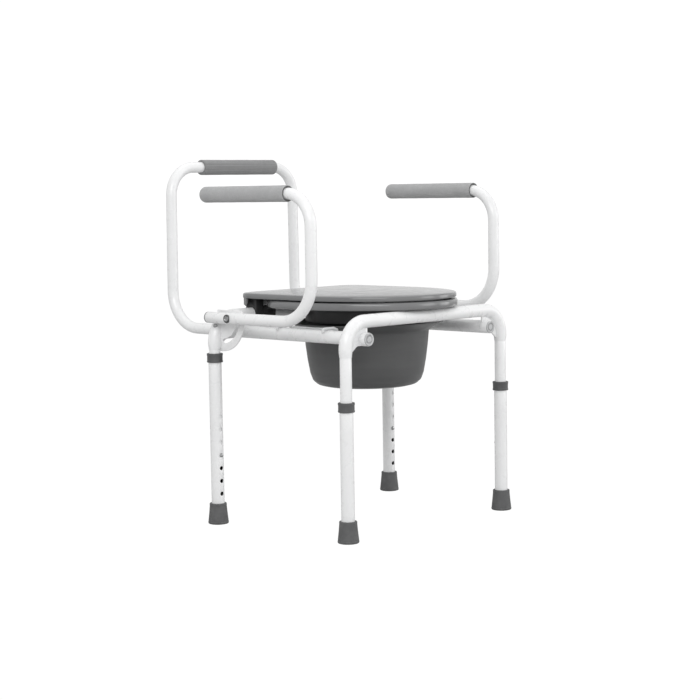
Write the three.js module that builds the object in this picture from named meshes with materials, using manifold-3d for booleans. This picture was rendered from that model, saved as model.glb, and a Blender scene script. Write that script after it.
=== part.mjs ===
// Drop-arm commode chair: steel tube frame, telescoping legs, two arms that
// drop on a pivot at the rear legs, hinged seat and lid, slide-out pail.
// Millimetres, +Z up. The front of the chair faces -Y, the sitter's left is +X.
// The origin is on the floor, at the centre of the chair's footprint box.
// Pieces are modelled about the centre of the leg rectangle; put() shifts them.
import * as THREE from 'three';
import { mergeVertices } from 'three/addons/utils/BufferGeometryUtils.js';
import Module from 'manifold-3d';

const wasm = await Module();
wasm.setup();
const { Manifold, Mesh: ManifoldMesh } = wasm;

// ---------------------------------------------------------------- shared dimensions
const SHIFT_Y = -96.4;         // from the leg-rectangle centre to the footprint centre
const GAP = 0.3;               // air left between neighbours
const TUBE_FLATS = 12;         // flats on a tube
const OUTER_R = 12.7;          // 25.4 mm tube: crossbars, side rails, lower legs
const OUTER_BORE = 11.6;
const INNER_R = 11.1;          // 22.2 mm tube: upper legs, back, arms
const INNER_BORE = 9.7;

const FRONT_LEG_X = 222.4;
const REAR_LEG_X = 247.2;
const LEG_Y = 167;             // rear legs at +LEG_Y, front legs at -LEG_Y
const BAR_Z = 408.5;           // crossbars
const RAIL_X = 174.6;          // side rails
const RAIL_Z = 375.4;
const BACK_BOLT_Y = 216;       // bolts that hold the backrest in the rails
const BOLT_HOLE_R = 3.4;

const ARM_X = 260.8;
const ARM_LOW_Z = BAR_Z;
const PIVOT_Y = 150;           // arm pivot
const LOCK_R = 47;             // from the pivot to the lock pin
const PIVOT_HOLE_R = 4.4;

const SEAT_Z0 = 423;           // seat ring, bottom and top
const SEAT_Z1 = 437.6;
const LID_Z0 = 439.2;          // lid, bottom, edge of the top and crown
const LID_Z1 = 449.8;
const LID_CROWN = 456.2;
const PAIL_Y = -8;

const SIDES = [[1, 'left'], [-1, 'right']];   // sign of X, name

// ---------------------------------------------------------------- materials
const standard = (look) => () => new THREE.MeshStandardMaterial(look);
const paint = standard({ color: 0xe9eaea, roughness: 0.35, metalness: 0.15 });
const foam = standard({ color: 0xa6a8a9, roughness: 0.95, metalness: 0 });
const seatPlastic = standard({ color: 0x9b9da0, roughness: 0.3, metalness: 0 });
const pailPlastic = standard({ color: 0x4a4b4d, roughness: 0.5, metalness: 0 });
const rubber = standard({ color: 0x55575a, roughness: 0.8, metalness: 0 });
const collarPlastic = standard({ color: 0x6e7073, roughness: 0.5, metalness: 0 });
const capPlastic = standard({ color: 0xc2c4c6, roughness: 0.5, metalness: 0 });
const steel = standard({ color: 0x9a9c9f, roughness: 0.35, metalness: 1 });

// ---------------------------------------------------------------- meshes and solids
const group = new THREE.Group();

// welded, closed, outward-facing copy of a geometry
function weld(source) {
  const loose = source.index ? source.toNonIndexed() : source.clone();
  for (const name of Object.keys(loose.attributes)) {
    if (name !== 'position') loose.deleteAttribute(name);
  }
  const geo = mergeVertices(loose, 1e-4);
  const { position } = geo.attributes;
  const index = geo.index.array;
  const corners = [new THREE.Vector3(), new THREE.Vector3(), new THREE.Vector3()];
  const kept = [];
  let volume = 0;
  for (let i = 0; i < index.length; i += 3) {
    const triangle = [index[i], index[i + 1], index[i + 2]];
    if (new Set(triangle).size < 3) continue;
    kept.push(...triangle);
    const [a, b, c] = corners.map((v, k) => v.fromBufferAttribute(position, triangle[k]));
    volume += a.dot(b.cross(c)) / 6;
  }
  if (volume < 0) {
    for (let i = 0; i < kept.length; i += 3) [kept[i], kept[i + 1]] = [kept[i + 1], kept[i]];
  }
  geo.setIndex(kept);
  return geo;
}

function toManifold(source) {
  const geo = weld(source);
  const mesh = new ManifoldMesh({
    numProp: 3,
    vertProperties: new Float32Array(geo.attributes.position.array),
    triVerts: new Uint32Array(geo.index.array),
  });
  mesh.merge();
  return new Manifold(mesh);
}

// apply one Manifold method, tool by tool
function combine(method, base, tools) {
  let solid = toManifold(base);
  for (const tool of tools) solid = solid[method](toManifold(tool));
  const mesh = solid.getMesh();
  const geo = new THREE.BufferGeometry();
  geo.setAttribute('position', new THREE.Float32BufferAttribute(mesh.vertProperties, 3));
  geo.setIndex(Array.from(mesh.triVerts));
  return geo;
}
const cut = (base, ...tools) => combine('subtract', base, tools);
const join = (base, ...tools) => combine('add', base, tools);
const overlap = (base, ...tools) => combine('intersect', base, tools);

// add a flat-shaded piece to the chair
function put(name, geo, material) {
  const flat = weld(geo).translate(0, SHIFT_Y, 0).toNonIndexed();
  flat.computeVertexNormals();
  const mesh = new THREE.Mesh(flat, material());
  mesh.name = name;
  group.add(mesh);
}

// ---------------------------------------------------------------- bent tubes
// a path through given points, sampled exactly at them
class PointPath extends THREE.Curve {
  constructor(points) {
    super();
    this.points = points;
  }

  getSpacedPoints() {
    return this.points.map((point) => point.clone());
  }

  // mean of the directions before and after the nearest point
  getTangentAt(u, target = new THREE.Vector3()) {
    const { points } = this;
    const last = points.length - 1;
    const i = Math.round(u * last);
    target.set(0, 0, 0);
    if (i > 0) target.add(points[i].clone().sub(points[i - 1]).normalize());
    if (i < last) target.add(points[i + 1].clone().sub(points[i]).normalize());
    return target.normalize();
  }
}

const corner = (x, y, z, radius = 0) => ({ point: new THREE.Vector3(x, y, z), radius });

// corners with bend radii -> points along the bent centre line
function bent(corners, stepsPer90 = 5) {
  const path = [corners[0].point];
  for (let i = 1; i < corners.length - 1; i++) {
    const { point, radius } = corners[i];
    const toPrevious = corners[i - 1].point.clone().sub(point).normalize();
    const toNext = corners[i + 1].point.clone().sub(point).normalize();
    const angle = Math.acos(THREE.MathUtils.clamp(toPrevious.dot(toNext), -1, 1));
    const turn = Math.PI - angle;
    const setback = radius / Math.tan(angle / 2);
    const centre = toPrevious.clone().add(toNext).normalize()
      .multiplyScalar(radius / Math.sin(angle / 2)).add(point);
    const [start, end] = [toPrevious, toNext]
      .map((direction) => direction.clone().multiplyScalar(setback).add(point).sub(centre));
    const steps = Math.max(2, Math.round(turn / (Math.PI / 2) * stepsPer90));
    for (let k = 0; k <= steps; k++) {
      const along = k / steps * turn;
      path.push(centre.clone()
        .addScaledVector(start, Math.sin(turn - along) / Math.sin(turn))
        .addScaledVector(end, Math.sin(along) / Math.sin(turn)));
    }
  }
  path.push(corners[corners.length - 1].point);
  return path.filter((point, i) => i === 0 || point.distanceTo(path[i - 1]) > 0.05);
}

// sweep a round section, hollow if it has a bore, along a path
function sweep(path, radius, bore = 0, flats = TUBE_FLATS) {
  const polygon = (r) => Array.from({ length: flats }, (_, k) => {
    const angle = 2 * Math.PI * (k + 0.5) / flats;
    return new THREE.Vector2(r * Math.cos(angle), r * Math.sin(angle));
  });
  const section = new THREE.Shape(polygon(radius));
  if (bore) section.holes.push(new THREE.Path(polygon(bore).reverse()));
  return new THREE.ExtrudeGeometry(section, {
    steps: path.length - 1,
    bevelEnabled: false,
    extrudePath: new PointPath(path),
  });
}

// ---------------------------------------------------------------- turned parts and slabs
// solid of revolution about +Z; a profile is a list of [radius, height]
function turned(profile, segments) {
  const points = profile.map(([radius, z]) => new THREE.Vector2(radius, z));
  return new THREE.LatheGeometry(points, segments).rotateX(Math.PI / 2);
}
// the same for a profile that stays clear of the axis
const turnedRing = (profile, segments) => turned([...profile, profile[0]], segments);
const pipe = (radius, bore, z0, z1, segments = TUBE_FLATS) =>
  turnedRing([[bore, z0], [radius, z0], [radius, z1], [bore, z1]], segments);
const rod = (radius, z0, z1, segments) =>
  turned([[0, z0], [radius, z0], [radius, z1], [0, z1]], segments);
// rod between two distances from the origin, on the side given by sign
function signedRod(radius, sign, near, far, segments) {
  const [z0, z1] = sign > 0 ? [near, far] : [-far, -near];
  return rod(radius, z0, z1, segments);
}

const alongX = (geo) => geo.rotateY(Math.PI / 2);      // +Z becomes +X
const alongY = (geo) => geo.rotateX(-Math.PI / 2);     // +Z becomes +Y
// +Z becomes the outward direction on the given side
const outward = (geo, sign) => (sign < 0 ? alongX(geo).rotateZ(Math.PI) : alongX(geo));

// outline in XY, thickness centred on Z = 0
function slab(outline, thickness) {
  const shape = new THREE.Shape(outline.map(([x, y]) => new THREE.Vector2(x, y)));
  return new THREE.ExtrudeGeometry(shape, { depth: thickness, bevelEnabled: false })
    .translate(0, 0, -thickness / 2);
}
const slabXZ = (outline, thickness) => slab(outline, thickness).rotateX(Math.PI / 2);
const slabYZ = (outline, thickness) => slabXZ(outline, thickness).rotateZ(Math.PI / 2);

// ---------------------------------------------------------------- crossbars
const BAR_BEND_R = 50;
const BAR_FOOT_Z = 345;        // open lower ends, around the upper legs

const barPath = (x, y, footZ) => bent([
  corner(-x, y, footZ), corner(-x, y, BAR_Z, BAR_BEND_R),
  corner(x, y, BAR_Z, BAR_BEND_R), corner(x, y, footZ),
]);
// solid that clears a crossbar out of a plate
const barCutter = (x, y, footZ) => sweep(barPath(x, y, footZ), OUTER_R + 0.45, 0, 16);

for (const [end, x, y] of [['front', FRONT_LEG_X, -LEG_Y], ['rear', REAR_LEG_X, LEG_Y]]) {
  put(`${end}_crossbar`, sweep(barPath(x, y, BAR_FOOT_Z), OUTER_R, OUTER_BORE), paint);
}

// ---------------------------------------------------------------- side rails and their caps
const RAIL_FRONT_Y = -180.6;
const RAIL_REAR_Y = 236;
// height 0 at the rail's front end
const RAIL_CAP = [
  [0, -2.6], [10.6, -2.6], [12.3, -1.2], [12.3, -GAP], [10.9, -GAP], [10.9, 12], [0, 12],
];

// hole through the outer wall of a tube centred at x
const boltHole = (sign, x, length) =>
  alongX(signedRod(BOLT_HOLE_R, sign, x, x + length, 10)).translate(0, BACK_BOLT_Y, RAIL_Z);

for (const [sign, side] of SIDES) {
  const x = sign * RAIL_X;
  const rail = alongY(pipe(OUTER_R, OUTER_BORE, RAIL_FRONT_Y, RAIL_REAR_Y))
    .translate(x, 0, RAIL_Z);
  put(`side_rail_${side}`, cut(rail, boltHole(sign, RAIL_X, 40)), paint);
  put(`rail_cap_${side}`,
    alongY(turned(RAIL_CAP, 20)).translate(x, RAIL_FRONT_Y, RAIL_Z), capPlastic);
}

// ---------------------------------------------------------------- gusset plates
const GUSSET_T = 3;

// plate in the bend of a crossbar, notched for the bar and the side rail
function gusset(sign, legX, y) {
  const outline = [
    [legX - 6, 348], [legX - 28, 363.5], [176, 363.5],
    [165, 380], [165, 400], [legX - 6, 400],
  ].map(([x, z]) => [sign * x, z]);
  const rail = alongY(rod(OUTER_R + GAP, -30, 30, 24)).translate(sign * RAIL_X, y, RAIL_Z);
  return cut(slabXZ(outline, GUSSET_T).translate(0, y, 0), barCutter(legX, y, 340), rail);
}
for (const [sign, side] of SIDES) {
  put(`front_gusset_${side}`, gusset(sign, FRONT_LEG_X, -LEG_Y), paint);
  put(`rear_gusset_${side}`, gusset(sign, REAR_LEG_X, LEG_Y), paint);
}

// ---------------------------------------------------------------- legs
const HOLE_PITCH = 25.4;       // height holes
const HOLE_Z0 = 60.3;
const HOLES = 7;
const HOLE_R = 4.2;
const BUTTON_Z = HOLE_Z0 + 3 * HOLE_PITCH;
const UPPER_Z0 = 120;          // upper leg, bottom and top
const UPPER_Z1 = 357;
const LOWER_Z0 = 6;
const SPRING_WIDTH = 6;

// end, centre x and y, top of the lower leg, Y direction its holes face
const LEGS = [
  ['front', FRONT_LEG_X, -LEG_Y, 259.5, 1],
  ['rear', REAR_LEG_X, LEG_Y, 335, -1],
];
// height 0 at the top of the lower leg
const COLLAR = [
  [13.1, -15.5], [15.3, -15.5], [15.9, -14.8], [15.9, 1.4],
  [15.2, 2.2], [11.5, 2.2], [11.5, GAP], [13.1, GAP],
];
const TIP = [
  [0, 0], [18.5, 0], [19.9, 1.2], [20.3, 3], [19.8, 9],
  [16.6, 38], [16.3, 41], [13.1, 41], [13.1, 5.7], [0, 5.7],
];
// V spring, open end down: [towards the button, height from the button]
const SPRING = [
  [7.8, -8], [8.6, -8], [8.6, 5], [0.5, 44], [-0.5, 44], [-8.6, 5],
  [-8.6, -8], [-7.8, -8], [-7.8, 5], [0, 41], [7.8, 5],
];
const BUTTON = [[0, 8], [3.8, 8], [3.8, 13.9], [2.6, 15.1], [0, 15.5]];

const legHole = (facing, z) => alongY(signedRod(HOLE_R, facing, 4, 20, 10)).translate(0, 0, z);

// snap button on its V spring inside the upper leg
function snapButton(facing) {
  const spring = slabYZ(SPRING.map(([y, z]) => [facing * y, z]), SPRING_WIDTH);
  const button = alongY(turned(BUTTON.map(([radius, y]) => [radius, facing * y]), 12));
  return join(spring, button).translate(0, 0, BUTTON_Z);
}

for (const [end, legX, y, top, facing] of LEGS) {
  for (const [sign, side] of SIDES) {
    const putLeg = (part, geo, material) =>
      put(`${part}_${end}_${side}`, geo.translate(sign * legX, y, 0), material);
    const holes = Array.from({ length: HOLES },
      (_, i) => legHole(facing, HOLE_Z0 + i * HOLE_PITCH));
    const upper = pipe(INNER_R, INNER_BORE, UPPER_Z0, UPPER_Z1);
    putLeg('upper_leg', cut(upper, legHole(facing, BUTTON_Z)), paint);
    putLeg('lower_leg', cut(pipe(OUTER_R, OUTER_BORE, LOWER_Z0, top), ...holes), paint);
    putLeg('leg_collar', turnedRing(COLLAR, 16).translate(0, 0, top), collarPlastic);
    putLeg('leg_tip', turned(TIP, 16), rubber);
    putLeg('snap_button', snapButton(facing), steel);
  }
}

// ---------------------------------------------------------------- backrest
const BACK_X = 171.8;          // top corners of the bent tube
const BACK_Y = 376;
const BACK_Z = 702.5;
const BACK_START_Y = 176;      // ends of the tube, inside the side rails
const BACK_LOW_BEND_R = 75;
const BACK_TOP_BEND_R = 58;
const BACK_GRIP_X0 = -90.4;    // foam sleeve on the straight top
const BACK_GRIP_X1 = 114.4;
const BOLT_SEAT = OUTER_R + GAP;   // underside of the bolt head, from the rail's axis

const backPath = bent([
  corner(-RAIL_X, BACK_START_Y, RAIL_Z),
  corner(-RAIL_X, BACK_Y, RAIL_Z, BACK_LOW_BEND_R),
  corner(-BACK_X, BACK_Y, BACK_Z, BACK_TOP_BEND_R),
  corner(BACK_X, BACK_Y, BACK_Z, BACK_TOP_BEND_R),
  corner(RAIL_X, BACK_Y, RAIL_Z, BACK_LOW_BEND_R),
  corner(RAIL_X, BACK_START_Y, RAIL_Z),
]);
put('backrest_tube', cut(sweep(backPath, INNER_R, INNER_BORE),
  boltHole(1, BACK_X, 30), boltHole(-1, BACK_X, 30)), paint);

for (const [sign, side] of SIDES) {
  const shank = rod(3, 2, BOLT_SEAT + 1, 12);
  const head = turned([
    [0, 0], [5.6, 0], [5.2, 2.2], [2.5, 3.2], [0, 3.4],
  ], 12).translate(0, 0, BOLT_SEAT);
  put(`back_bolt_${side}`,
    outward(join(shank, head), sign).translate(sign * RAIL_X, BACK_BOLT_Y, RAIL_Z), steel);
}

put('backrest_grip', alongX(turnedRing([
  [11.7, BACK_GRIP_X0], [14.9, BACK_GRIP_X0], [15.9, BACK_GRIP_X0 + 1],
  [15.9, BACK_GRIP_X1 - 1], [14.9, BACK_GRIP_X1], [11.7, BACK_GRIP_X1],
], 20)).translate(0, BACK_Y, BACK_Z), foam);

// ---------------------------------------------------------------- quadrant plates
const PLATE_X = 240.1;
const PLATE_T = 3;
const PLATE_FRONT = 64;        // half axes of the plate's curved edge, from the pivot
const PLATE_DROP = 67;
const PLATE_REAR = 12.6;
const PLATE_TOP = 14;
const SLOT_HALF = 4.5;         // half width of the slot
const ARM_DROP = 84;           // degrees the arm drops
// the slot runs from straight ahead of the pivot (-Y) down through the arm's drop
const SLOT_START = Math.PI;
const SLOT_END = SLOT_START + ARM_DROP * Math.PI / 180;
// the washer fills the space between plate and arm
const WASHER_GAP = 0.2;
const WASHER_X0 = PLATE_X + PLATE_T / 2 + WASHER_GAP;
const WASHER_X1 = ARM_X - INNER_R - WASHER_GAP;

// points of an arc about the origin, both ends included
const arc = (radiusX, radiusY, start, end) => Array.from({ length: 11 }, (_, i) => {
  const angle = start + (end - start) * i / 10;
  return [radiusX * Math.cos(angle), radiusY * Math.sin(angle)];
});

// solids that cut the slot, about the pivot: a curved bar and its two round ends
function slotCutters() {
  const [inner, outer] = [LOCK_R - SLOT_HALF, LOCK_R + SLOT_HALF];
  const bar = slabYZ([
    ...arc(outer, outer, SLOT_START, SLOT_END),
    ...arc(inner, inner, SLOT_START, SLOT_END).reverse(),
  ], 10);
  const ends = [SLOT_START, SLOT_END].map((angle) => alongX(rod(SLOT_HALF, -5, 5, 12))
    .translate(0, LOCK_R * Math.cos(angle), LOCK_R * Math.sin(angle)));
  return [bar, ...ends];
}

for (const [sign, side] of SIDES) {
  const place = (geo) => geo.translate(sign * PLATE_X, PIVOT_Y, ARM_LOW_Z);
  const plate = place(slabYZ([
    [PLATE_REAR, 0], [PLATE_REAR, PLATE_TOP], [-58, PLATE_TOP],
    ...arc(PLATE_FRONT, PLATE_DROP, Math.PI, 1.5 * Math.PI),
    [PLATE_REAR, -PLATE_DROP],
  ], PLATE_T));
  const pivotHole = alongX(rod(PIVOT_HOLE_R, -5, 5, 14));
  put(`quadrant_plate_${side}`, cut(plate, ...[...slotCutters(), pivotHole].map(place),
    barCutter(REAR_LEG_X, LEG_Y, 330)), paint);

  const half = (WASHER_X1 - WASHER_X0) / 2;
  put(`pivot_washer_${side}`, alongX(pipe(9, 4.5, -half, half, 20))
    .translate(sign * (WASHER_X0 + WASHER_X1) / 2, PIVOT_Y, ARM_LOW_Z), collarPlastic);
}

// ---------------------------------------------------------------- arms
const ARM_TOP_Z = 646.3;
const ARM_FRONT_Y = -120.7;
const ARM_LOW_END_Y = 165.6;   // rear ends of the lower and the upper run
const ARM_TOP_END_Y = 158;
const ARM_LOW_BEND_R = 80;
const ARM_TOP_BEND_R = 60;
const ARM_HOLE_DEPTH = 14;
const LOCK_Y = PIVOT_Y - LOCK_R;
const GRIP_SPAN_Y = { left: [-68.5, 168.5], right: [-62.5, 172.5] };
// height 0 at the tube's end
const END_PLUG = [
  [0, -7.5], [9.1, -7.5], [9.1, GAP], [11, GAP], [11, 3.2], [9.8, 4.7], [8.2, 5.1], [0, 5.1],
];
// bolt and button: height 0 at the arm tube's axis, outward positive
const PIVOT_BOLT = [   // head inside the plate, shank into the arm tube
  [0, -26.4], [3.2, -26.4], [6.8, -24.8], [7.2, -22.5], [4, -22.5],
  [4, 2], [6.6, 2], [6.6, 7], [0, 7],
];
const LOCK_BUTTON = [   // pin through the slot, cap in the outer wall
  [0, -23.4], [3, -23.4], [3.8, -22.6], [3.8, 4.5], [5.7, 4.5],
  [5.7, 11.8], [4.6, 12.9], [0, 13.4],
];

function armTube(sign) {
  const x = sign * ARM_X;
  const tube = sweep(bent([
    corner(x, ARM_LOW_END_Y, ARM_LOW_Z),
    corner(x, ARM_FRONT_Y, ARM_LOW_Z, ARM_LOW_BEND_R),
    corner(x, ARM_FRONT_Y, ARM_TOP_Z, ARM_TOP_BEND_R),
    corner(x, ARM_TOP_END_Y, ARM_TOP_Z),
  ]), INNER_R, INNER_BORE);
  const hole = (radius, near, y) =>
    alongX(signedRod(radius, sign, near, near + ARM_HOLE_DEPTH, 14)).translate(0, y, ARM_LOW_Z);
  const inner = ARM_X - ARM_HOLE_DEPTH;
  return cut(tube,
    hole(PIVOT_HOLE_R, inner, PIVOT_Y), hole(4.2, inner, LOCK_Y), hole(6.1, ARM_X, LOCK_Y));
}

// foam sleeve, open in front and closed behind
function armGrip([front, rear]) {
  return alongY(turned([
    [12.7, front], [14.5, front], [15.5, front + 1], [15.5, rear - 8], [14.8, rear - 4],
    [12.6, rear - 1.2], [9, rear], [0, rear], [0, rear - 8.5], [11.5, rear - 8.5],
    [11.6, -52], [12.7, front],
  ], 16));
}

for (const [sign, side] of SIDES) {
  const x = sign * ARM_X;
  put(`arm_tube_${side}`, armTube(sign), paint);
  put(`arm_grip_${side}`, armGrip(GRIP_SPAN_Y[side]).translate(x, 0, ARM_TOP_Z), foam);
  put(`arm_end_plug_${side}`,
    alongY(turned(END_PLUG, 16)).translate(x, ARM_LOW_END_Y, ARM_LOW_Z), capPlastic);
  put(`pivot_bolt_${side}`,
    outward(turned(PIVOT_BOLT, 16), sign).translate(x, PIVOT_Y, ARM_LOW_Z), steel);
  put(`lock_button_${side}`,
    outward(turned(LOCK_BUTTON, 14), sign).translate(x, LOCK_Y, ARM_LOW_Z), steel);
}

// ---------------------------------------------------------------- pail supports
const WIRE_R = 2.5;
const WIRE_HOOK_X = RAIL_X + 16.2;   // hooked over the outside of the rail
const WIRE_HOOK_Z = 383;
const WIRE_TOP_Z = 391.4;
const WIRE_LOW_Z = 387;              // run that carries the pail rim
const WIRE_FRONT_Y = PAIL_Y - 69;
const WIRE_REAR_Y = PAIL_Y + 56;

for (const [sign, side] of SIDES) {
  // one end of the wire, from its hook to the low run
  const wireEnd = (y, towardsMiddle) => [
    corner(sign * WIRE_HOOK_X, y, WIRE_HOOK_Z),
    corner(sign * WIRE_HOOK_X, y, WIRE_TOP_Z, 4),
    corner(sign * 162, y, WIRE_TOP_Z, 6),
    corner(sign * 152.6, y, WIRE_LOW_Z + 0.6, 4),
    corner(sign * 149.6, y + towardsMiddle * 3, WIRE_LOW_Z, 3),
  ];
  const path = bent([...wireEnd(WIRE_FRONT_Y, 1), ...wireEnd(WIRE_REAR_Y, -1).reverse()], 3);
  put(`pail_support_wire_${side}`, sweep(path, WIRE_R, 0, 6), steel);
}

// ---------------------------------------------------------------- pail
const PAIL_Z0 = 265.2;
const PAIL_TOP = 393;
const PAIL_RIM_R = 153.5;
// outside from the base up to the rim, then inside back down
const PAIL = [
  [0, PAIL_Z0], [86, PAIL_Z0], [98.5, PAIL_Z0 + 3], [107.5, PAIL_Z0 + 11],
  [112.7, PAIL_Z0 + 24.8], [117.8, 318], [121.3, 345], [124, 373],
  [126.6, 376.2], [150.5, 391], [PAIL_RIM_R, 391.2], [PAIL_RIM_R, PAIL_TOP],
  [149.5, PAIL_TOP], [125.4, 379.2], [121.8, 374], [119.1, 345], [115.6, 318],
  [110.5, PAIL_Z0 + 25.8], [105.9, PAIL_Z0 + 13], [97.8, PAIL_Z0 + 5.2],
  [86, PAIL_Z0 + 2.4], [0, PAIL_Z0 + 2.4],
];
put('pail', turned(PAIL, 28).translate(0, PAIL_Y, 0), pailPlastic);

// ---------------------------------------------------------------- seat ring and lid
const SEAT_HALF_WIDTH = 170.5;
const SEAT_FRONT = 199;        // reach to the front
const SEAT_REAR = 164;         // reach to the rear
const SEAT_REAR_POWER = 3.2;   // superellipse exponent of the rear edge
const LID_INSET = 2.2;         // lid edge inside the seat edge
const LID_REAR_HALF_WIDTH = 167.2;
const LID_REAR = 200;
const LID_CORNER_R = 42;

// front half ellipse, from -X round the front to +X
function frontEdge(inset) {
  return Array.from({ length: 17 }, (_, i) => {
    const angle = Math.PI + Math.PI * i / 16;
    return [
      (SEAT_HALF_WIDTH - inset) * Math.cos(angle), (SEAT_FRONT - inset) * Math.sin(angle),
    ];
  });
}

function seatOutline(inset) {
  const points = frontEdge(inset);
  const power = 2 / SEAT_REAR_POWER;
  for (let i = 1; i < 14; i++) {
    const angle = Math.PI * i / 14;
    const cos = Math.cos(angle);
    points.push([
      (SEAT_HALF_WIDTH - inset) * Math.sign(cos) * Math.abs(cos) ** power,
      (SEAT_REAR - inset) * Math.sin(angle) ** power,
    ]);
  }
  return points;
}

// straight sides and rounded rear corners behind the front half ellipse
function lidOutline(lidInset) {
  const inset = LID_INSET + lidInset;
  const radius = Math.max(LID_CORNER_R - inset, 12);
  const sideX = SEAT_HALF_WIDTH - inset - 1.5;
  const points = [...frontEdge(inset), [sideX, 70]];
  for (const [sign, quarter] of [[1, 0], [-1, 1]]) {
    for (let i = 0; i <= 5; i++) {
      const angle = Math.PI / 2 * (quarter + i / 5);
      points.push([
        sign * (LID_REAR_HALF_WIDTH - inset - radius) + radius * Math.cos(angle),
        LID_REAR - inset - radius + radius * Math.sin(angle),
      ]);
    }
  }
  points.push([-sideX, 70]);
  return points;
}

// closed solid through a stack of outlines: rows of [z, points]
function loft(rows) {
  const count = rows[0][1].length;
  const positions = rows.flatMap(([z, points]) => points.flatMap(([x, y]) => [x, y, z]));
  const index = [];
  for (let row = 0; row + 1 < rows.length; row++) {
    for (let i = 0; i < count; i++) {
      const a = row * count + i;
      const b = row * count + (i + 1) % count;
      index.push(a, b, b + count, a, b + count, a + count);
    }
  }
  const cap = (row, up) => {
    const contour = rows[row][1].map(([x, y]) => new THREE.Vector2(x, y));
    for (const triangle of THREE.ShapeUtils.triangulateShape(contour, [])) {
      const [a, b, c] = triangle.map((i) => row * count + i);
      index.push(a, ...(up ? [b, c] : [c, b]));
    }
  };
  cap(0, false);
  cap(rows.length - 1, true);
  const geo = new THREE.BufferGeometry();
  geo.setAttribute('position', new THREE.Float32BufferAttribute(positions, 3));
  geo.setIndex(index);
  return geo;
}
// loft of one outline function: rows of [z, inset]
const loftInsets = (outline, rows) => loft(rows.map(([z, inset]) => [z, outline(inset)]));

// oval opening, centred ahead of the seat's middle
const oval = (radiusX, radiusY) => Array.from({ length: 32 }, (_, i) => {
  const angle = 2 * Math.PI * i / 32;
  return [radiusX * Math.cos(angle), -28 + radiusY * Math.sin(angle)];
});

const seatBody = loftInsets(seatOutline,
  [[SEAT_Z0, 4], [SEAT_Z0 + 4, 0.4], [SEAT_Z1 - 4, 0], [SEAT_Z1, 4.5]]);
const seatHole = loft([
  [SEAT_Z0 - 3, oval(103, 128)], [SEAT_Z1 - 6, oval(103, 128)], [SEAT_Z1 + 2, oval(111, 136)],
]);
put('seat_ring', cut(seatBody, seatHole), seatPlastic);

// lid: crowned top, shallow recess below, skirt down behind the seat
const lidTop = loftInsets(lidOutline, [
  [LID_Z0, 2.5], [LID_Z0 + 1.8, 0], [LID_Z1 - 2.4, 0.3], [LID_Z1 - 0.3, 2.2],
  [LID_Z1 + 0.9, 8.5], [LID_Z1 + 2.9, 28], [LID_CROWN, 75],
]);
const lidRecess = loftInsets(lidOutline,
  [[LID_Z0 - 1, 7], [LID_Z1 - 3.6, 9], [LID_Z1 - 0.2, 34]]);
const skirtOuter = loftInsets(lidOutline, [[425.5, 2.5], [LID_Z0 + 1, 1.2]]);
const skirtInner = loftInsets(lidOutline, [[420, 6], [LID_Z0 + 3, 6]]);
const behindSeat = slab([[-200, 163], [200, 163], [200, 230], [-200, 230]], 60)
  .translate(0, 0, 430);
const skirt = overlap(cut(skirtOuter, skirtInner), behindSeat);
put('lid', join(cut(lidTop, lidRecess), skirt), seatPlastic);

// ---------------------------------------------------------------- splash guard
// ring hung under the seat
put('splash_guard', turnedRing([
  [119, 394.2], [121.2, 394.2], [118.6, 418], [124, 421.6],
  [124, SEAT_Z0 - GAP], [113, SEAT_Z0 - GAP], [116.4, 418],
], 24).translate(0, PAIL_Y, 0), pailPlastic);

// ---------------------------------------------------------------- clips and buffers
// the clips snap on the rear crossbar and carry the seat and the lid
const CLIP_HALF = 16.4;        // half depth of the clip along Y
// name, inner and outer |x|, front y, rear y and top z of the block above the bar
const CLIPS = [
  ['seat_clip', 97, 127.5, 106, LEG_Y + 13, SEAT_Z0 - GAP],
  ['lid_clip', 130, 149.5, LEG_Y - CLIP_HALF, LEG_Y + 3, LID_Z1 - 4.6],
];

function clip(width, frontY, rearY, topZ) {
  const body = slabYZ([
    [LEG_Y - CLIP_HALF, BAR_Z - 6], [LEG_Y + CLIP_HALF, BAR_Z - 6],
    [LEG_Y + CLIP_HALF, BAR_Z + 8], [rearY, topZ], [frontY, topZ],
    [frontY, BAR_Z + 12.9], [LEG_Y - CLIP_HALF, BAR_Z + 9],
  ], width);
  const bore = alongX(rod(OUTER_R + 0.35, -width, width, 24)).translate(0, LEG_Y, BAR_Z);
  return cut(body, bore);
}
for (const [sign, side] of SIDES) {
  for (const [name, x0, x1, ...block] of CLIPS) {
    put(`${name}_${side}`,
      clip(x1 - x0, ...block).translate(sign * (x0 + x1) / 2, 0, 0), collarPlastic);
  }
}

// rubber pads between the front crossbar and the seat
for (const [sign, side] of SIDES) {
  put(`seat_buffer_${side}`, rod(9, BAR_Z + OUTER_R + 0.15, SEAT_Z0 - 0.2, 16)
    .translate(sign * 62, -LEG_Y, 0), rubber);
}

export default group;
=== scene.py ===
# Drop-arm commode chair: a tube frame with adjustable legs, a backrest, two arms that
# swing down, a pail, a seat ring and a lid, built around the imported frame.
# Z is up from the floor, the front faces -Y and the sitter's left is +X. Sizes are in
# millimetres before SHIFT_Y; to_metres() applies the shift and the unit.
import math
import bpy
import bmesh
import numpy as np
from mathutils import Vector, Matrix


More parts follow.
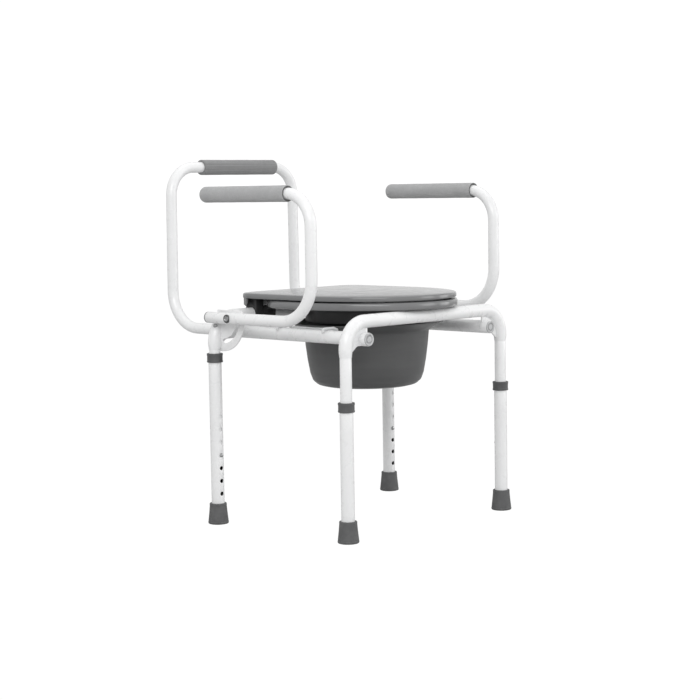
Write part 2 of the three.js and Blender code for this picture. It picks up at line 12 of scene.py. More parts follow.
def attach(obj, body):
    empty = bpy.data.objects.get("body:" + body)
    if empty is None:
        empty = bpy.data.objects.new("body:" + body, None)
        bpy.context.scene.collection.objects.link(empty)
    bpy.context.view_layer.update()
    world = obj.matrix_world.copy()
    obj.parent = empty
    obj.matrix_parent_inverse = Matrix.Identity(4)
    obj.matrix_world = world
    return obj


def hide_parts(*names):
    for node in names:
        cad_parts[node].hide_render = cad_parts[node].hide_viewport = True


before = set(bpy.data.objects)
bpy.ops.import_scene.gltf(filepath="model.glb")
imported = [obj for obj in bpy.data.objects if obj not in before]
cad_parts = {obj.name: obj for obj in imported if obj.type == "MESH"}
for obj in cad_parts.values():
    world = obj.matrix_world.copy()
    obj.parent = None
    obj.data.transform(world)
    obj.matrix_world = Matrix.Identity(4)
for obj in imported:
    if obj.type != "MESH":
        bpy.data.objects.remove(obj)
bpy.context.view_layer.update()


# ------------------------------------------------------------------ driving dimensions
SHIFT_Y = -96.4
SIDES = ((1, "left"), (-1, "right"))    # sign of X, name
TUBE_R, TUBE_BORE = 12.7, 11.6          # outer tube: radius, bore radius
INNER_R, INNER_BORE = 11.1, 9.7         # the tube that slides inside it
FRONT_X, REAR_X, LEG_Y = 222.4, 247.2, 167.0
BAR_Z, BEND_R = 408.5, 50.0
RAIL_X, RAIL_Z, RAIL_Y0, RAIL_Y1 = 174.6, 375.4, -180.6, 236.0
HOLE_PITCH, HOLE_Z0, HOLE_COUNT = 25.4, 60.3, 7
BUTTON_Z = HOLE_Z0 + 3 * HOLE_PITCH
LEG_TOP_REAR, LEG_TOP_FRONT = 335.0, 259.5
BACK_X, BACK_Y, BACK_Z, BACK_LOW_R, BACK_TOP_R = 171.8, 376.0, 702.5, 75.0, 58.0
BACK_BOLT_Y, BACK_BOLT_HOLE_R = 216.0, 3.4
ARM_X, ARM_Z0, ARM_Z1 = 260.8, BAR_Z, 646.3
ARM_Y0, ARM_END, ARM_LOW_R, ARM_TOP_R = -120.7, 165.6, 80.0, 60.0
PIVOT_Y, LOCK_R, DROP_ANGLE = 150.0, 47.0, 84.0
SEAT_Z0, SEAT_Z1 = 423.0, 437.6
LID_Z0, LID_Z1, LID_CROWN_Z, LID_INSET = 439.2, 449.8, 456.2, 2.2
SEAT_HALF_WIDTH, SEAT_FRONT_LENGTH = 170.5, 199.0
PAIL_Y, PAIL_R, PAIL_RIM_R, PAIL_Z0, PAIL_TOP_Z = -8.0, 124.0, 153.5, 265.2, 393.0


# ------------------------------------------------------------------ mesh helpers
# A "mesh" below is a pair: vertices in millimetres, faces.
def vec(*values):
    return np.array(values, float)


def unit(vector):
    return vector / np.linalg.norm(vector)


def to_metres(points):
    points = np.asarray(points, float).reshape(-1, 3).copy()
    points[:, 1] += SHIFT_Y
    return points * 0.001


def tidy_mesh(data, smooth):
    """Merges doubles, turns faces outward and keeps edges above smooth degrees sharp."""
    work = bmesh.new()
    work.from_mesh(data)
    bmesh.ops.remove_doubles(work, verts=work.verts, dist=1e-6)
    bmesh.ops.dissolve_degenerate(work, edges=work.edges, dist=1e-7)
    bmesh.ops.recalc_face_normals(work, faces=work.faces)
    limit = math.radians(smooth)
    for face in work.faces:
        face.smooth = True
    for edge in work.edges:
        edge.smooth = len(edge.link_faces) == 2 and edge.calc_face_angle(0) <= limit
    work.to_mesh(data)
    work.free()
    data.update()


def make_object(name, mesh, smooth=35.0):
    verts, faces = mesh
    data = bpy.data.meshes.new(name)
    data.from_pydata([tuple(v) for v in to_metres(verts)], [], faces)
    data.validate()
    made = bpy.data.objects.new(name, data)
    bpy.context.scene.collection.objects.link(made)
    tidy_mesh(data, smooth)
    return made


def add_piece(name, mesh, finish, body, replaces=None, smooth=35.0):
    """Adds a piece of the chair. finish: (material, slot). replaces: a CAD piece."""
    piece = make_object(name, mesh, smooth)
    material, slot = finish
    piece.data.materials.append(material)
    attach(piece, body)
    if replaces:
        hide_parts(replaces)
    return piece


def skin(rows, seg, cyclic=False):
    """Joins circles given as (centre, normal, binormal, radius); radius 0 is one point."""
    verts, faces, rings = [], [], []
    angles = 2 * np.pi * np.arange(seg) / seg
    for centre, normal, binormal, radius in rows:
        if radius <= 1e-9:
            rings.append([len(verts)])
            verts.append(centre)
        else:
            rings.append(list(range(len(verts), len(verts) + seg)))
            spokes = np.cos(angles)[:, None] * normal + np.sin(angles)[:, None] * binormal
            verts += list(centre + radius * spokes)
    pairs = list(zip(rings[:-1], rings[1:]))
    if cyclic:
        pairs.append((rings[-1], rings[0]))
    for a, b in pairs:
        if len(a) == 1 and len(b) == 1:
            continue
        for i in range(seg):
            j = (i + 1) % seg
            if len(a) == 1:
                faces.append((a[0], b[j], b[i]))
            elif len(b) == 1:
                faces.append((a[i], a[j], b[0]))
            else:
                faces.append((a[i], a[j], b[j], b[i]))
    return verts, faces


def loft(rings, cyclic=False, cap_first=False, cap_last=False):
    """Joins rings of equally many points."""
    n, count = len(rings[0]), len(rings)
    verts = [point for ring in rings for point in ring]
    faces = []
    for r in range(count if cyclic else count - 1):
        q = (r + 1) % count
        for i in range(n):
            j = (i + 1) % n
            faces.append((r * n + i, r * n + j, q * n + j, q * n + i))
    if cap_first:
        faces.append(tuple(reversed(range(n))))
    if cap_last:
        faces.append(tuple(range((count - 1) * n, count * n)))
    return verts, faces


# axis: its direction and the two directions across it
AXES = {
    "x": (vec(1, 0, 0), vec(0, 1, 0), vec(0, 0, 1)),
    "y": (vec(0, 1, 0), vec(0, 0, 1), vec(1, 0, 0)),
    "z": (vec(0, 0, 1), vec(1, 0, 0), vec(0, 1, 0)),
}


def lathe_mesh(profile, at, axis="z", flip=False, seg=48, closed=False):
    """Turns (radius, height) points about an axis through at; flip reverses the heights."""
    along, normal, binormal = AXES[axis]
    if flip:
        along = -along
    at = np.asarray(at, float)
    return skin([(at + along * h, normal, binormal, r) for r, h in profile], seg, closed)


def rounded(profile, corner, steps, closed):
    """Rounds corners of (radius, height) or (radius, height, own corner radius) points."""
    points = [np.array(entry[:2], float) for entry in profile]
    out, count = [], len(points)
    for i, point in enumerate(points):
        if not closed and i in (0, count - 1):
            out.append(tuple(point))
            continue
        before, after = points[i - 1] - point, points[(i + 1) % count] - point
        room = 0.45 * min(np.linalg.norm(before), np.linalg.norm(after))
        before, after = unit(before), unit(after)
        angle = math.acos(max(-1, min(1, float(before @ after))))
        if angle > math.radians(176):
            out.append(tuple(point))
            continue
        wanted = profile[i][2] if len(profile[i]) > 2 else corner
        setback = min(wanted / math.tan(angle / 2), room)
        radius = setback * math.tan(angle / 2)
        centre = point + unit(before + after) * (radius / math.sin(angle / 2))
        start, end = point + before * setback - centre, point + after * setback - centre
        angle0 = math.atan2(start[1], start[0])
        angle1 = math.atan2(end[1], end[0])
        turn = (angle1 - angle0 + math.pi) % (2 * math.pi) - math.pi
        for k in range(steps + 1):
            a = angle0 + turn * k / steps
            out.append((centre[0] + radius * math.cos(a), centre[1] + radius * math.sin(a)))
    return out


def lathe(name, profile, at, finish, body, replaces=None, axis="z", flip=False, seg=48,
          closed=False, smooth=35.0, corner=None, steps=3):
    """A turned piece; with corner set, the corners of its profile are rounded."""
    if corner is not None:
        profile = rounded(profile, corner, steps, closed)
    mesh = lathe_mesh(profile, at, axis, flip, seg, closed)
    return add_piece(name, mesh, finish, body, replaces, smooth)


def resample(points, longest):
    """Splits stretches longer than longest and skips very short ones."""
    out = [points[0]]
    for a, b in zip(points[:-1], points[1:]):
        distance = np.linalg.norm(b - a)
        if distance < 0.02:
            continue
        count = max(1, math.ceil(distance / longest))
        out += [a + (b - a) * k / count for k in range(1, count + 1)]
    return out


def straight(start, end):
    return resample([vec(*start), vec(*end)], 60)


def bent(corners, steps_per_90=14, longest=60.0):
    """Centre line through (x, y, z, bend radius) corners; the ends' radii don't count."""
    points = [vec(*corner[:3]) for corner in corners]
    out = [points[0]]
    for i in range(1, len(points) - 1):
        point, radius = points[i], corners[i][3]
        before, after = unit(points[i - 1] - point), unit(points[i + 1] - point)
        angle = math.acos(max(-1, min(1, float(before @ after))))
        turn = math.pi - angle
        setback = radius / math.tan(angle / 2)
        centre = point + unit(before + after) * (radius / math.sin(angle / 2))
        first, last = point + before * setback - centre, point + after * setback - centre
        steps = max(3, round(turn / (math.pi / 2) * steps_per_90))
        for k in range(steps + 1):
            t = turn * k / steps
            out.append(centre + first * math.sin(turn - t) / math.sin(turn)
                       + last * math.sin(t) / math.sin(turn))
    out.append(points[-1])
    return resample(out, longest)


def frames(line):
    """Tangent, normal and binormal at each point, carried along without twist."""
    tangents = []
    for i in range(len(line)):
        before = line[i] - line[i - 1] if i > 0 else line[1] - line[0]
        after = line[i + 1] - line[i] if i < len(line) - 1 else line[-1] - line[-2]
        tangents.append(unit(unit(before) + unit(after)))
    aside = vec(0, 0, 1) if abs(tangents[0][2]) < 0.9 else vec(0, 1, 0)
    normal = unit(np.cross(tangents[0], aside))
    normals = []
    for tangent in tangents:
        normal = unit(normal - tangent * (normal @ tangent))
        normals.append(normal)
    return tangents, normals, [np.cross(t, n) for t, n in zip(tangents, normals)]


def end_rows(radius, dome, rim=0.45):
    """(distance in from the end, radius) of a dome, or of a small rounded rim."""
    if dome:
        return [(radius * (1 - math.cos(a)), radius * math.sin(a))
                for a in np.linspace(0, math.pi / 2, 5)]
    return [(0, radius - rim), (rim * 0.3, radius - rim * 0.3), (rim, radius)]


def sweep_mesh(line, radius, bore=0.0, seg=40, taper=None, dome=False):
    """Tube (bore > 0) or rod. taper(from start, from end) gives the radius instead."""
    lengths = [np.linalg.norm(b - a) for a, b in zip(line[:-1], line[1:])]
    along = [0.0] + list(np.cumsum(lengths))
    tangents, normals, binormals = frames(line)
    outer = []
    for k, (p, t, n, b, s) in enumerate(zip(line, tangents, normals, binormals, along)):
        r = taper(s, along[-1] - s) if taper else radius
        if k == 0:
            outer += [(p + t * inset, n, b, q) for inset, q in end_rows(r, dome)]
        elif k == len(line) - 1:
            outer += [(p - t * inset, n, b, q) for inset, q in end_rows(r, dome)[::-1]]
        else:
            outer.append((p, n, b, r))
    if bore:
        inner = [(p, n, b, bore) for p, n, b in zip(line, normals, binormals)]
        return skin(outer + inner[::-1], seg, cyclic=True)
    if not dome:
        first = (line[0], normals[0], binormals[0], 0.0)
        last = (line[-1], normals[-1], binormals[-1], 0.0)
        outer = [first] + outer + [last]
    return skin(outer, seg)


def sweep(name, line, radius, bore, finish, body, replaces=None, **options):
    return add_piece(name, sweep_mesh(line, radius, bore, **options), finish, body, replaces)


def plate_mesh(outline, axis, thick, at):
    """Flat plate across an axis; outline in (y, z) for axis x, in (x, z) for axis y."""
    def place(u, z, depth):
        return np.asarray(at, float) + (vec(depth, u, z) if axis == "x" else vec(u, depth, z))
    rings = [[place(u, z, depth) for u, z in outline] for depth in (-thick / 2, thick / 2)]
    return loft(rings, cap_first=True, cap_last=True)


def tool(mesh):
    return make_object("tool", mesh)


def rod_tool(axis, radius, reach, at, seg=32):
    """Cutting cylinder reaching equally far both ways from at."""
    profile = [(0, -reach), (radius, -reach), (radius, reach), (0, reach)]
    return tool(lathe_mesh(profile, at, axis, seg=seg))


def cut(piece, tools, bevel=0.0, smooth=35.0):
    """Takes the tools away from a piece, rounds its sharp edges and deletes the tools."""
    for cutter in tools:
        boolean = piece.modifiers.new("cut", "BOOLEAN")
        boolean.operation = "DIFFERENCE"
        boolean.object = cutter
        boolean.solver = "EXACT"
    if bevel:
        edge = piece.modifiers.new("edge", "BEVEL")
        edge.width = bevel * 0.001
        edge.segments = 2
        edge.limit_method = "ANGLE"
        edge.angle_limit = math.radians(40)
    graph = bpy.context.evaluated_depsgraph_get()
    graph.update()
    data = bpy.data.meshes.new_from_object(piece.evaluated_get(graph))
    materials = list(piece.data.materials)
    piece.modifiers.clear()
    piece.data = data
    # the evaluated mesh may come without its materials
    if not len(data.materials):
        for material in materials:
            data.materials.append(material)
    for cutter in tools:
        bpy.data.objects.remove(cutter)
    tidy_mesh(data, smooth)


def arc(centre_u, centre_v, radius, start, end, steps):
    """Points in a plane from start to end degrees."""
    angles = [math.radians(start + (end - start) * k / steps) for k in range(steps + 1)]
    return [(centre_u + radius * math.cos(a), centre_v + radius * math.sin(a))
            for a in angles]


def ellipse(radius_u, radius_v, centre_v, degrees):
    return [(radius_u * math.cos(a), centre_v + radius_v * math.sin(a))
            for a in np.radians(degrees)]


# ------------------------------------------------------------------ shader helpers
class Graph:
    """A node tree; an input takes a value, a colour or another node's output."""
    def __init__(self, tree):
        self.tree = tree

    def feed(self, socket, value):
        if isinstance(value, bpy.types.NodeSocket):
            self.tree.links.new(value, socket)
        elif socket.type == "RGBA":
            socket.default_value = (*value, 1)
        else:
            socket.default_value = value

    def node(self, kind, **inputs):
        made = self.tree.nodes.new(kind)
        for name, value in inputs.items():
            self.feed(made.inputs[name.replace("_", " ")], value)
        return made

    def mix_shader(self, factor, first, second):
        made = self.node("ShaderNodeMixShader")
        for socket, value in zip(made.inputs, (factor, first, second)):
            self.feed(socket, value)
        return made.outputs[0]


class Surface(Graph):
    """A material built on its principled shader, textured in object coordinates."""
    def __init__(self, name):
        self.material = bpy.data.materials.new(name)
        self.material.use_nodes = True
        super().__init__(self.material.node_tree)
        self.principled = self.tree.nodes["Principled BSDF"]
        self.coord = self.node("ShaderNodeTexCoord").outputs["Object"]

    def noise(self, scale, detail=3, rough=0.5, stretch=None):
        vector = self.coord
        if stretch:
            mapping = self.node("ShaderNodeMapping", Vector=vector, Scale=stretch)
            vector = mapping.outputs["Vector"]
        return self.node("ShaderNodeTexNoise", Vector=vector, Scale=scale, Detail=detail,
                         Roughness=rough).outputs["Fac"]

    def ramp(self, factor, start=0.3, end=0.7, first=0.0, last=1.0):
        """Grey ramp: value first at start, value last at end."""
        made = self.node("ShaderNodeValToRGB", Fac=factor)
        stops = ((start, first), (end, last))
        for element, (position, grey) in zip(made.color_ramp.elements, stops):
            element.position = position
            element.color = (grey, grey, grey, 1)
        return made.outputs["Color"]

    def mottle(self, scale, detail=3, rough=0.5, stretch=None, **ramp):
        return self.ramp(self.noise(scale, detail, rough, stretch), **ramp)

    def math(self, operation, a, b):
        made = self.node("ShaderNodeMath")
        made.operation = operation
        self.feed(made.inputs[0], a)
        self.feed(made.inputs[1], b)
        return made.outputs[0]

    def multiply(self, a, b):
        return self.math("MULTIPLY", a, b)

    def mix(self, factor, a, b):
        made = self.node("ShaderNodeMix")
        made.data_type = "RGBA"
        # inputs 0, 6 and 7 are the factor and the two colours
        for index, value in ((0, factor), (6, a), (7, b)):
            self.feed(made.inputs[index], value)
        return made.outputs[2]

    def bump(self, height, strength, distance, **below):
        return self.node("ShaderNodeBump", Height=height, Strength=strength,
                         Distance=distance, **below).outputs["Normal"]

    def set(self, **inputs):
        for name, value in inputs.items():
            self.feed(self.principled.inputs[name.replace("_", " ")], value)


def scaled(colour, factor):
    return tuple(channel * factor for channel in colour)


# ------------------------------------------------------------------ materials
def paint_material(name="powder_coat", base=(0.86, 0.863, 0.866)):
    s = Surface(name)
    tint = s.mix(s.mottle(scale=14, detail=4, end=0.75), base, scaled(base, 0.965))
    # painted shade: creases and hollows darkened a little, in blotches
    pointiness = s.node("ShaderNodeNewGeometry").outputs["Pointiness"]
    crease = s.ramp(pointiness, start=0.40, end=0.49, first=1.0, last=0.0)
    crease_shade = s.multiply(crease, s.mottle(scale=160, detail=4, start=0.35))
    s.set(Base_Color=s.mix(s.multiply(crease_shade, 0.24), tint, (0.50, 0.495, 0.48)),
          Roughness=s.mottle(scale=60, detail=5, rough=0.6, end=0.75, first=0.24, last=0.36),
          Specular_IOR_Level=0.5, Coat_Weight=0.25, Coat_Roughness=0.12)
    peel = s.bump(s.noise(scale=520, detail=2, rough=0.4), strength=0.10, distance=0.0004)
    s.set(Normal=s.bump(s.noise(scale=45, detail=2), strength=0.06, distance=0.002,
                        Normal=peel))
    return s.material


def foam_material(name, tone, lines=0.0):
    """Pored foam; lines is the strength of faint lines drawn along X."""
    s = Surface(name)
    pores = s.node("ShaderNodeTexVoronoi", Vector=s.coord, Scale=1500).outputs["Distance"]
    base = s.mix(s.mottle(scale=28, detail=4),
                 scaled((0.94, 0.946, 0.955), tone), scaled((1.06, 1.066, 1.075), tone))
    dark = s.ramp(pores, start=0.10, end=0.35, first=1.0, last=0.0)
    speckled = s.mix(s.multiply(dark, 0.5), base, scaled((1, 1.005, 1.015), tone * 0.45))
    streak = s.mottle(scale=1.0, rough=0.6, stretch=(90, 90, 90), start=0.45, end=0.75)
    colour = s.mix(s.multiply(streak, 0.25), speckled, scaled((1, 1.005, 1.01), tone * 1.3))
    if lines:
        line = s.mottle(scale=1.0, detail=2, rough=0.6, stretch=(3, 420, 420),
                        start=0.40, end=0.60, first=1.0, last=0.0)
        colour = s.mix(s.multiply(line, lines), colour, scaled((1, 1, 1), tone * 0.62))
    s.set(Base_Color=colour, Roughness=0.92, Specular_IOR_Level=0.25,
          Sheen_Weight=0.25, Sheen_Roughness=0.5)
    fine = s.noise(scale=2600, detail=3, rough=0.7)
    grain = s.math("ADD", s.multiply(pores, 1.0), s.multiply(fine, 0.4))
    s.set(Normal=s.bump(s.noise(scale=120), strength=0.25, distance=0.0015,
                        Normal=s.bump(grain, strength=0.55, distance=0.0006)))
    return s.material


def seat_material():
    s = Surface("seat_plastic")
    base = s.mix(s.mottle(scale=9), (0.163, 0.165, 0.167), (0.186, 0.188, 0.190))
    scratch = s.mottle(scale=1.0, detail=2, stretch=(30, 900, 900), start=0.60, end=0.66)
    s.set(Base_Color=s.mix(s.multiply(scratch, 0.05), base, (0.35, 0.35, 0.35)),
          Roughness=s.mottle(scale=35, detail=5, rough=0.6, end=0.8, first=0.16, last=0.26),
          Specular_IOR_Level=0.5, Coat_Weight=0.3, Coat_Roughness=0.08)
    grain = s.bump(s.noise(scale=1400, detail=2), strength=0.03, distance=0.0003)
    s.set(Normal=s.bump(s.noise(scale=22, detail=2), strength=0.03, distance=0.004,
                        Normal=grain))
    return s.material


def pail_material():
    s = Surface("pail_plastic")
    base = s.mix(s.mottle(scale=12, detail=2), (0.071, 0.072, 0.073), (0.084, 0.085, 0.086))
    flow = s.mottle(scale=1.0, detail=2, stretch=(7, 7, 70), start=0.45)
    s.set(Base_Color=s.mix(s.multiply(flow, 0.12), base, (0.14, 0.141, 0.142)),
          Roughness=s.mottle(scale=45, detail=2, first=0.30, last=0.38),
          Specular_IOR_Level=0.5,
          Normal=s.bump(s.noise(scale=1200, detail=2), strength=0.07, distance=0.0004))
    return s.material


def plastic_material(name, colour, rough=(0.35, 0.5), grain=1800, bump=0.15):
    s = Surface(name)
    s.set(Base_Color=s.mix(s.mottle(scale=40, detail=4),
                           scaled(colour, 0.9), scaled(colour, 1.08)),
          Roughness=s.mottle(scale=150, detail=4, end=0.8, first=rough[0], last=rough[1]),
          Specular_IOR_Level=0.4,
          Normal=s.bump(s.noise(scale=grain, detail=2), strength=bump, distance=0.0003))
    return s.material


def rubber_material():
    s = Surface("tip_rubber")
    base = s.mix(s.mottle(scale=55, detail=5, rough=0.6, end=0.75),
                 (0.093, 0.094, 0.096), (0.134, 0.135, 0.136))
    # dust near the floor
    dust = s.mottle(scale=210, detail=4, rough=0.7, start=0.55, end=0.75)
    height = s.node("ShaderNodeSeparateXYZ", Vector=s.coord).outputs["Z"]
    low = s.ramp(height, start=0.0, end=0.012, first=1.0, last=0.0)
    dusty = s.multiply(s.multiply(dust, low), 0.35)
    s.set(Base_Color=s.mix(dusty, base, (0.38, 0.37, 0.35)),
          Roughness=s.mottle(scale=90, detail=4, end=0.8, first=0.55, last=0.75),
          Specular_IOR_Level=0.35,
          Normal=s.bump(s.noise(scale=900, rough=0.7), strength=0.30, distance=0.0005))
    return s.material


def steel_material(name, colour, rough):
    s = Surface(name)
    s.set(Base_Color=s.mix(s.mottle(scale=300, detail=4), scaled(colour, 0.8), colour),
          Metallic=1.0,
          Roughness=s.mottle(scale=500, detail=4, end=0.8, first=rough[0], last=rough[1]),
          Normal=s.bump(s.noise(scale=1.0, detail=2, stretch=(400, 4000, 4000)),
                        strength=0.10, distance=0.0002))
    return s.material


# finishes: (material, slot)
PAINT = (paint_material(), "white_paint")
WIRE = (paint_material("wire_coat", (0.76, 0.765, 0.77)), "wire_paint")
# the weld beads get a darker copy of the white paint: painted shade along the joints
WELD_SHADED = (paint_material("weld_coat_shaded", (0.74, 0.745, 0.75)), "white_paint")
FOAM = (foam_material("grip_foam", tone=0.41, lines=0.18), "grip_foam")
# the backrest's foam is a darker copy of the arm foam; its lower tone is painted shade
FOAM_BACK_SHADED = (foam_material("grip_foam_back_shaded", tone=0.265, lines=0.5), "grip_foam")
SEAT = (seat_material(), "seat_plastic")
PAIL = (pail_material(), "pail_plastic")
PLUG = (plastic_material("plug_plastic", (0.34, 0.345, 0.35), rough=(0.3, 0.45)),
        "cap_plastic")
FOAM_CUT = (foam_material("grip_foam_cut", tone=0.12), "grip_foam")
# splash guard: a near-black copy of the pail plastic, its extra darkness painted shade for
# the space under the seat
GUARD_SHADED = (plastic_material("guard_plastic_shaded", (0.022, 0.022, 0.023), rough=(0.3, 0.45)),
         "pail_plastic")
COLLAR = (plastic_material("collar_plastic", (0.092, 0.093, 0.095)), "dark_plastic")
CLIP = (plastic_material("clip_plastic", (0.030, 0.030, 0.031)), "dark_plastic")
CAP = (plastic_material("cap_plastic", (0.50, 0.505, 0.51), rough=(0.3, 0.45)),
       "cap_plastic")
RUBBER = (rubber_material(), "tip_rubber")
STEEL = (steel_material("zinc_steel", (0.50, 0.505, 0.51), rough=(0.22, 0.38)),
         "bare_steel")
# near-black, dull inside of the leg tubes: painted shade
BORE_MATERIAL = plastic_material("shaded_bore", (0.030, 0.029, 0.028), rough=(0.55, 0.75),
                                 grain=900, bump=0.3)
DARK_STEEL = (steel_material("dark_steel", (0.16, 0.162, 0.165), rough=(0.25, 0.4)),
              "bare_steel")

# ------------------------------------------------------------------ crossbars
BAR_FOOT_Z = 345.0
NECK_R, NECK_START, NECK_LENGTH = 11.75, 1.0, 9.0


def bar_line(x, y, foot_z):
    """An upturned U across the chair: two feet and a bend above each."""
    return bent([(-x, y, foot_z, 0), (-x, y, BAR_Z, BEND_R),
                 (x, y, BAR_Z, BEND_R), (x, y, foot_z, 0)])


def neck(from_start, from_end):
    """The crossbar's ends are drawn down to the upper leg over a few millimetres."""
    t = min(max((min(from_start, from_end) - NECK_START) / NECK_LENGTH, 0.0), 1.0)
    return NECK_R + (TUBE_R - NECK_R) * t * t * (3 - 2 * t)


def crossbar(end, x, y):
    line = bar_line(x, y, BAR_FOOT_Z)
    # stations close together on the necks
    rises = (0, 1, 3, 5, 7, 10)
    head = [line[0] + vec(0, 0, h) for h in rises]
    tail = [line[-1] + vec(0, 0, h) for h in reversed(rises)]
    middle = [p for p in line if p[2] > BAR_FOOT_Z + 11]
    sweep(f"crossbar_{end}", head + middle + tail, TUBE_R, TUBE_BORE, PAINT, "frame",
          f"{end}_crossbar", taper=neck)


crossbar("front", FRONT_X, -LEG_Y)
crossbar("rear", REAR_X, LEG_Y)

# ------------------------------------------------------------------ side rails, caps
# (radius, distance back from the rail's front end)
RAIL_CAP = [(0, -1.9), (5.7, -1.9), (6.1, 0.7), (8.0, 0.7), (8.8, -2.5), (11.4, -2.5),
            (12.3, -1.6), (12.3, -0.3), (11.0, -0.3), (11.0, 12), (9.0, 12), (9.0, 1.5),
            (0, 1.5)]


def side_rail(sign, side):
    x = sign * RAIL_X
    rail = sweep(f"rail_{side}", straight((x, RAIL_Y0, RAIL_Z), (x, RAIL_Y1, RAIL_Z)),
                 TUBE_R, TUBE_BORE, PAINT, "frame", f"side_rail_{side}", seg=48)
    hole_at = (sign * (RAIL_X + 16), BACK_BOLT_Y, RAIL_Z)
    cut(rail, [rod_tool("x", BACK_BOLT_HOLE_R, 20, hole_at)])
    lathe(f"cap_{side}", RAIL_CAP, (x, RAIL_Y0, RAIL_Z), CAP, "frame", f"rail_cap_{side}",
          axis="y", corner=0.4)


for sign, side in SIDES:
    side_rail(sign, side)


# ------------------------------------------------------------------ gussets
def weld_bead(name, points, radius, seed):
    """A run of overlapping weld ripples along points, painted over."""
    line = resample(points, 1.1)
    wobble = np.random.RandomState(seed).rand(len(line)) * 0.25
    tangents, normals, binormals = frames(line)
    rows = [(line[0] - tangents[0] * 0.4, normals[0], binormals[0], 0.0)]
    for i, point in enumerate(line):
        from_end = min(i, len(line) - 1 - i)
        fade = min(1.0, (from_end + 0.3) / 1.6)
        ripple = 0.86 + 0.14 * math.cos(i * 2.1) + wobble[i] * 0.3
        rows.append((point, normals[i], binormals[i], radius * fade * ripple))
    rows.append((line[-1] + tangents[-1] * 0.4, normals[-1], binormals[-1], 0.0))
    add_piece(name, skin(rows, 10), WELD_SHADED, "frame", smooth=80)


def gusset(end, sign, side, leg_x, y):
    """Plate in the corner between a crossbar's bend and the side rail, with its beads."""
    name = f"gusset_{end}_{side}"
    # (distance out from the middle, z)
    outline = [(leg_x - 6, 347), (leg_x - 9.5, 347.5), (leg_x - 27, 362),
               (leg_x - 31, 363.5), (176, 363.5), (165, 380), (165, 400), (leg_x - 6, 400)]
    mesh = plate_mesh([(sign * x, z) for x, z in outline], "y", 3.0, (0, y, 0))
    plate = add_piece(name, mesh, PAINT, "frame", f"{end}_gusset_{side}")
    cut(plate, [tool(sweep_mesh(bar_line(leg_x, y, 330), TUBE_R - 0.6, seg=48)),
                rod_tool("y", TUBE_R - 0.4, 30, (sign * RAIL_X, y, RAIL_Z), 48)],
        bevel=0.35)
    bend = arc(leg_x - BEND_R, BAR_Z - BEND_R, BEND_R - TUBE_R - 0.1, -12, 84, 22)
    rail = arc(RAIL_X, RAIL_Z, TUBE_R + 0.1, 108, 196, 20)
    for k, offset in enumerate((1.7, -1.7)):
        weld_bead(f"{name}_bead_{k}", [vec(sign * x, y + offset, z) for x, z in bend],
                  radius=1.25, seed=5 + k)
        weld_bead(f"{name}_rail_bead_{k}", [vec(sign * x, y + offset, z) for x, z in rail],
                  radius=1.2, seed=9 + k)


for sign, side in SIDES:
    gusset("front", sign, side, FRONT_X, -LEG_Y)
    gusset("rear", sign, side, REAR_X, LEG_Y)

# ------------------------------------------------------------------ legs
BUTTON_HOLE_R = 4.2
# (radius, height from the lower leg's top): a lip at the top and a bead at the foot
COLLAR_PROFILE = [(13.05, -15.5), (15.2, -15.5), (15.75, -14.9), (15.75, -12.4),
                  (15.25, -11.9), (15.25, -2.4), (15.8, -1.9), (15.8, 1.5), (15.1, 2.2),
                  (11.35, 2.2), (11.35, 0.3), (13.05, 0.3)]
# (radius, z, corner radius): a flared foot, two faint rings and a rolled top
TIP_PROFILE = [(0, 0), (17.5, 0), (18.1, 0.5), (19.1, 0.4), (20.1, 1.4, 0.8), (20.3, 4.2),
               (20.0, 5.2), (19.5, 5.9), (19.75, 7.0), (18.0, 22.5), (16.75, 36.6),
               (16.95, 37.3), (16.75, 40.2), (16.2, 41.0), (13.1, 41.0), (13.1, 6), (0, 6)]
# (radius, distance from the leg's centre line)
BUTTON_PROFILE = [(0, 7.9), (3.8, 7.9), (3.8, 13.2), (3.6, 14.0), (3.1, 14.7), (2.3, 15.2),
                  (1.2, 15.45), (0, 15.5)]


def shaded_bore(leg, x, y):
    """The inside of an upright tube is made near-black and dull: painted shade that keeps the
    holes dark.
    """
    leg.data.materials.append(BORE_MATERIAL)
    centre_x, centre_y, _ = to_metres([vec(x, y, 0)])[0]
    for face in leg.data.polygons:
        away = math.hypot(face.center.x - centre_x, face.center.y - centre_y)
        if away < (TUBE_BORE + 0.2) * 0.001:
            face.material_index = 1


def leg_tubes(name, x, y, top, facing):
    upper = sweep(f"leg_upper_{name}", straight((x, y, 120), (x, y, 357)), INNER_R,
                  INNER_BORE, PAINT, "frame", f"upper_leg_{name}")
    cut(upper, [rod_tool("y", BUTTON_HOLE_R, 8, (x, y + facing * 12, BUTTON_Z))])
    lower = sweep(f"leg_lower_{name}", straight((x, y, 6), (x, y, top)), TUBE_R,
                  TUBE_BORE, PAINT, f"leg_{name}", f"lower_leg_{name}", seg=48)
    holes = [(x, y + facing * 14, HOLE_Z0 + i * HOLE_PITCH) for i in range(HOLE_COUNT)]
    cut(lower, [rod_tool("y", BUTTON_HOLE_R, 8, at, 24) for at in holes],
        bevel=0.25, smooth=30)
    shaded_bore(lower, x, y)


def leg_collar(name, x, y, top, facing):
    body = f"leg_{name}"
    lathe(f"collar_{name}", COLLAR_PROFILE, (x, y, top), COLLAR, body,
          f"leg_collar_{name}", closed=True, seg=56, corner=0.35)
    # two small upright nibs on the collar, above the button holes
    near, far = y + facing * 14.2, y + facing * 16.0
    low, high = top - 14.6, top + 1.2
    outline = [(near, low), (far, low), (far, high), (near, high)]
    for k in (-1, 1):
        add_piece(f"collar_nib_{name}_{k}",
                  plate_mesh(outline, "x", 1.5, (x + k * 1.6, 0, 0)), COLLAR, body)


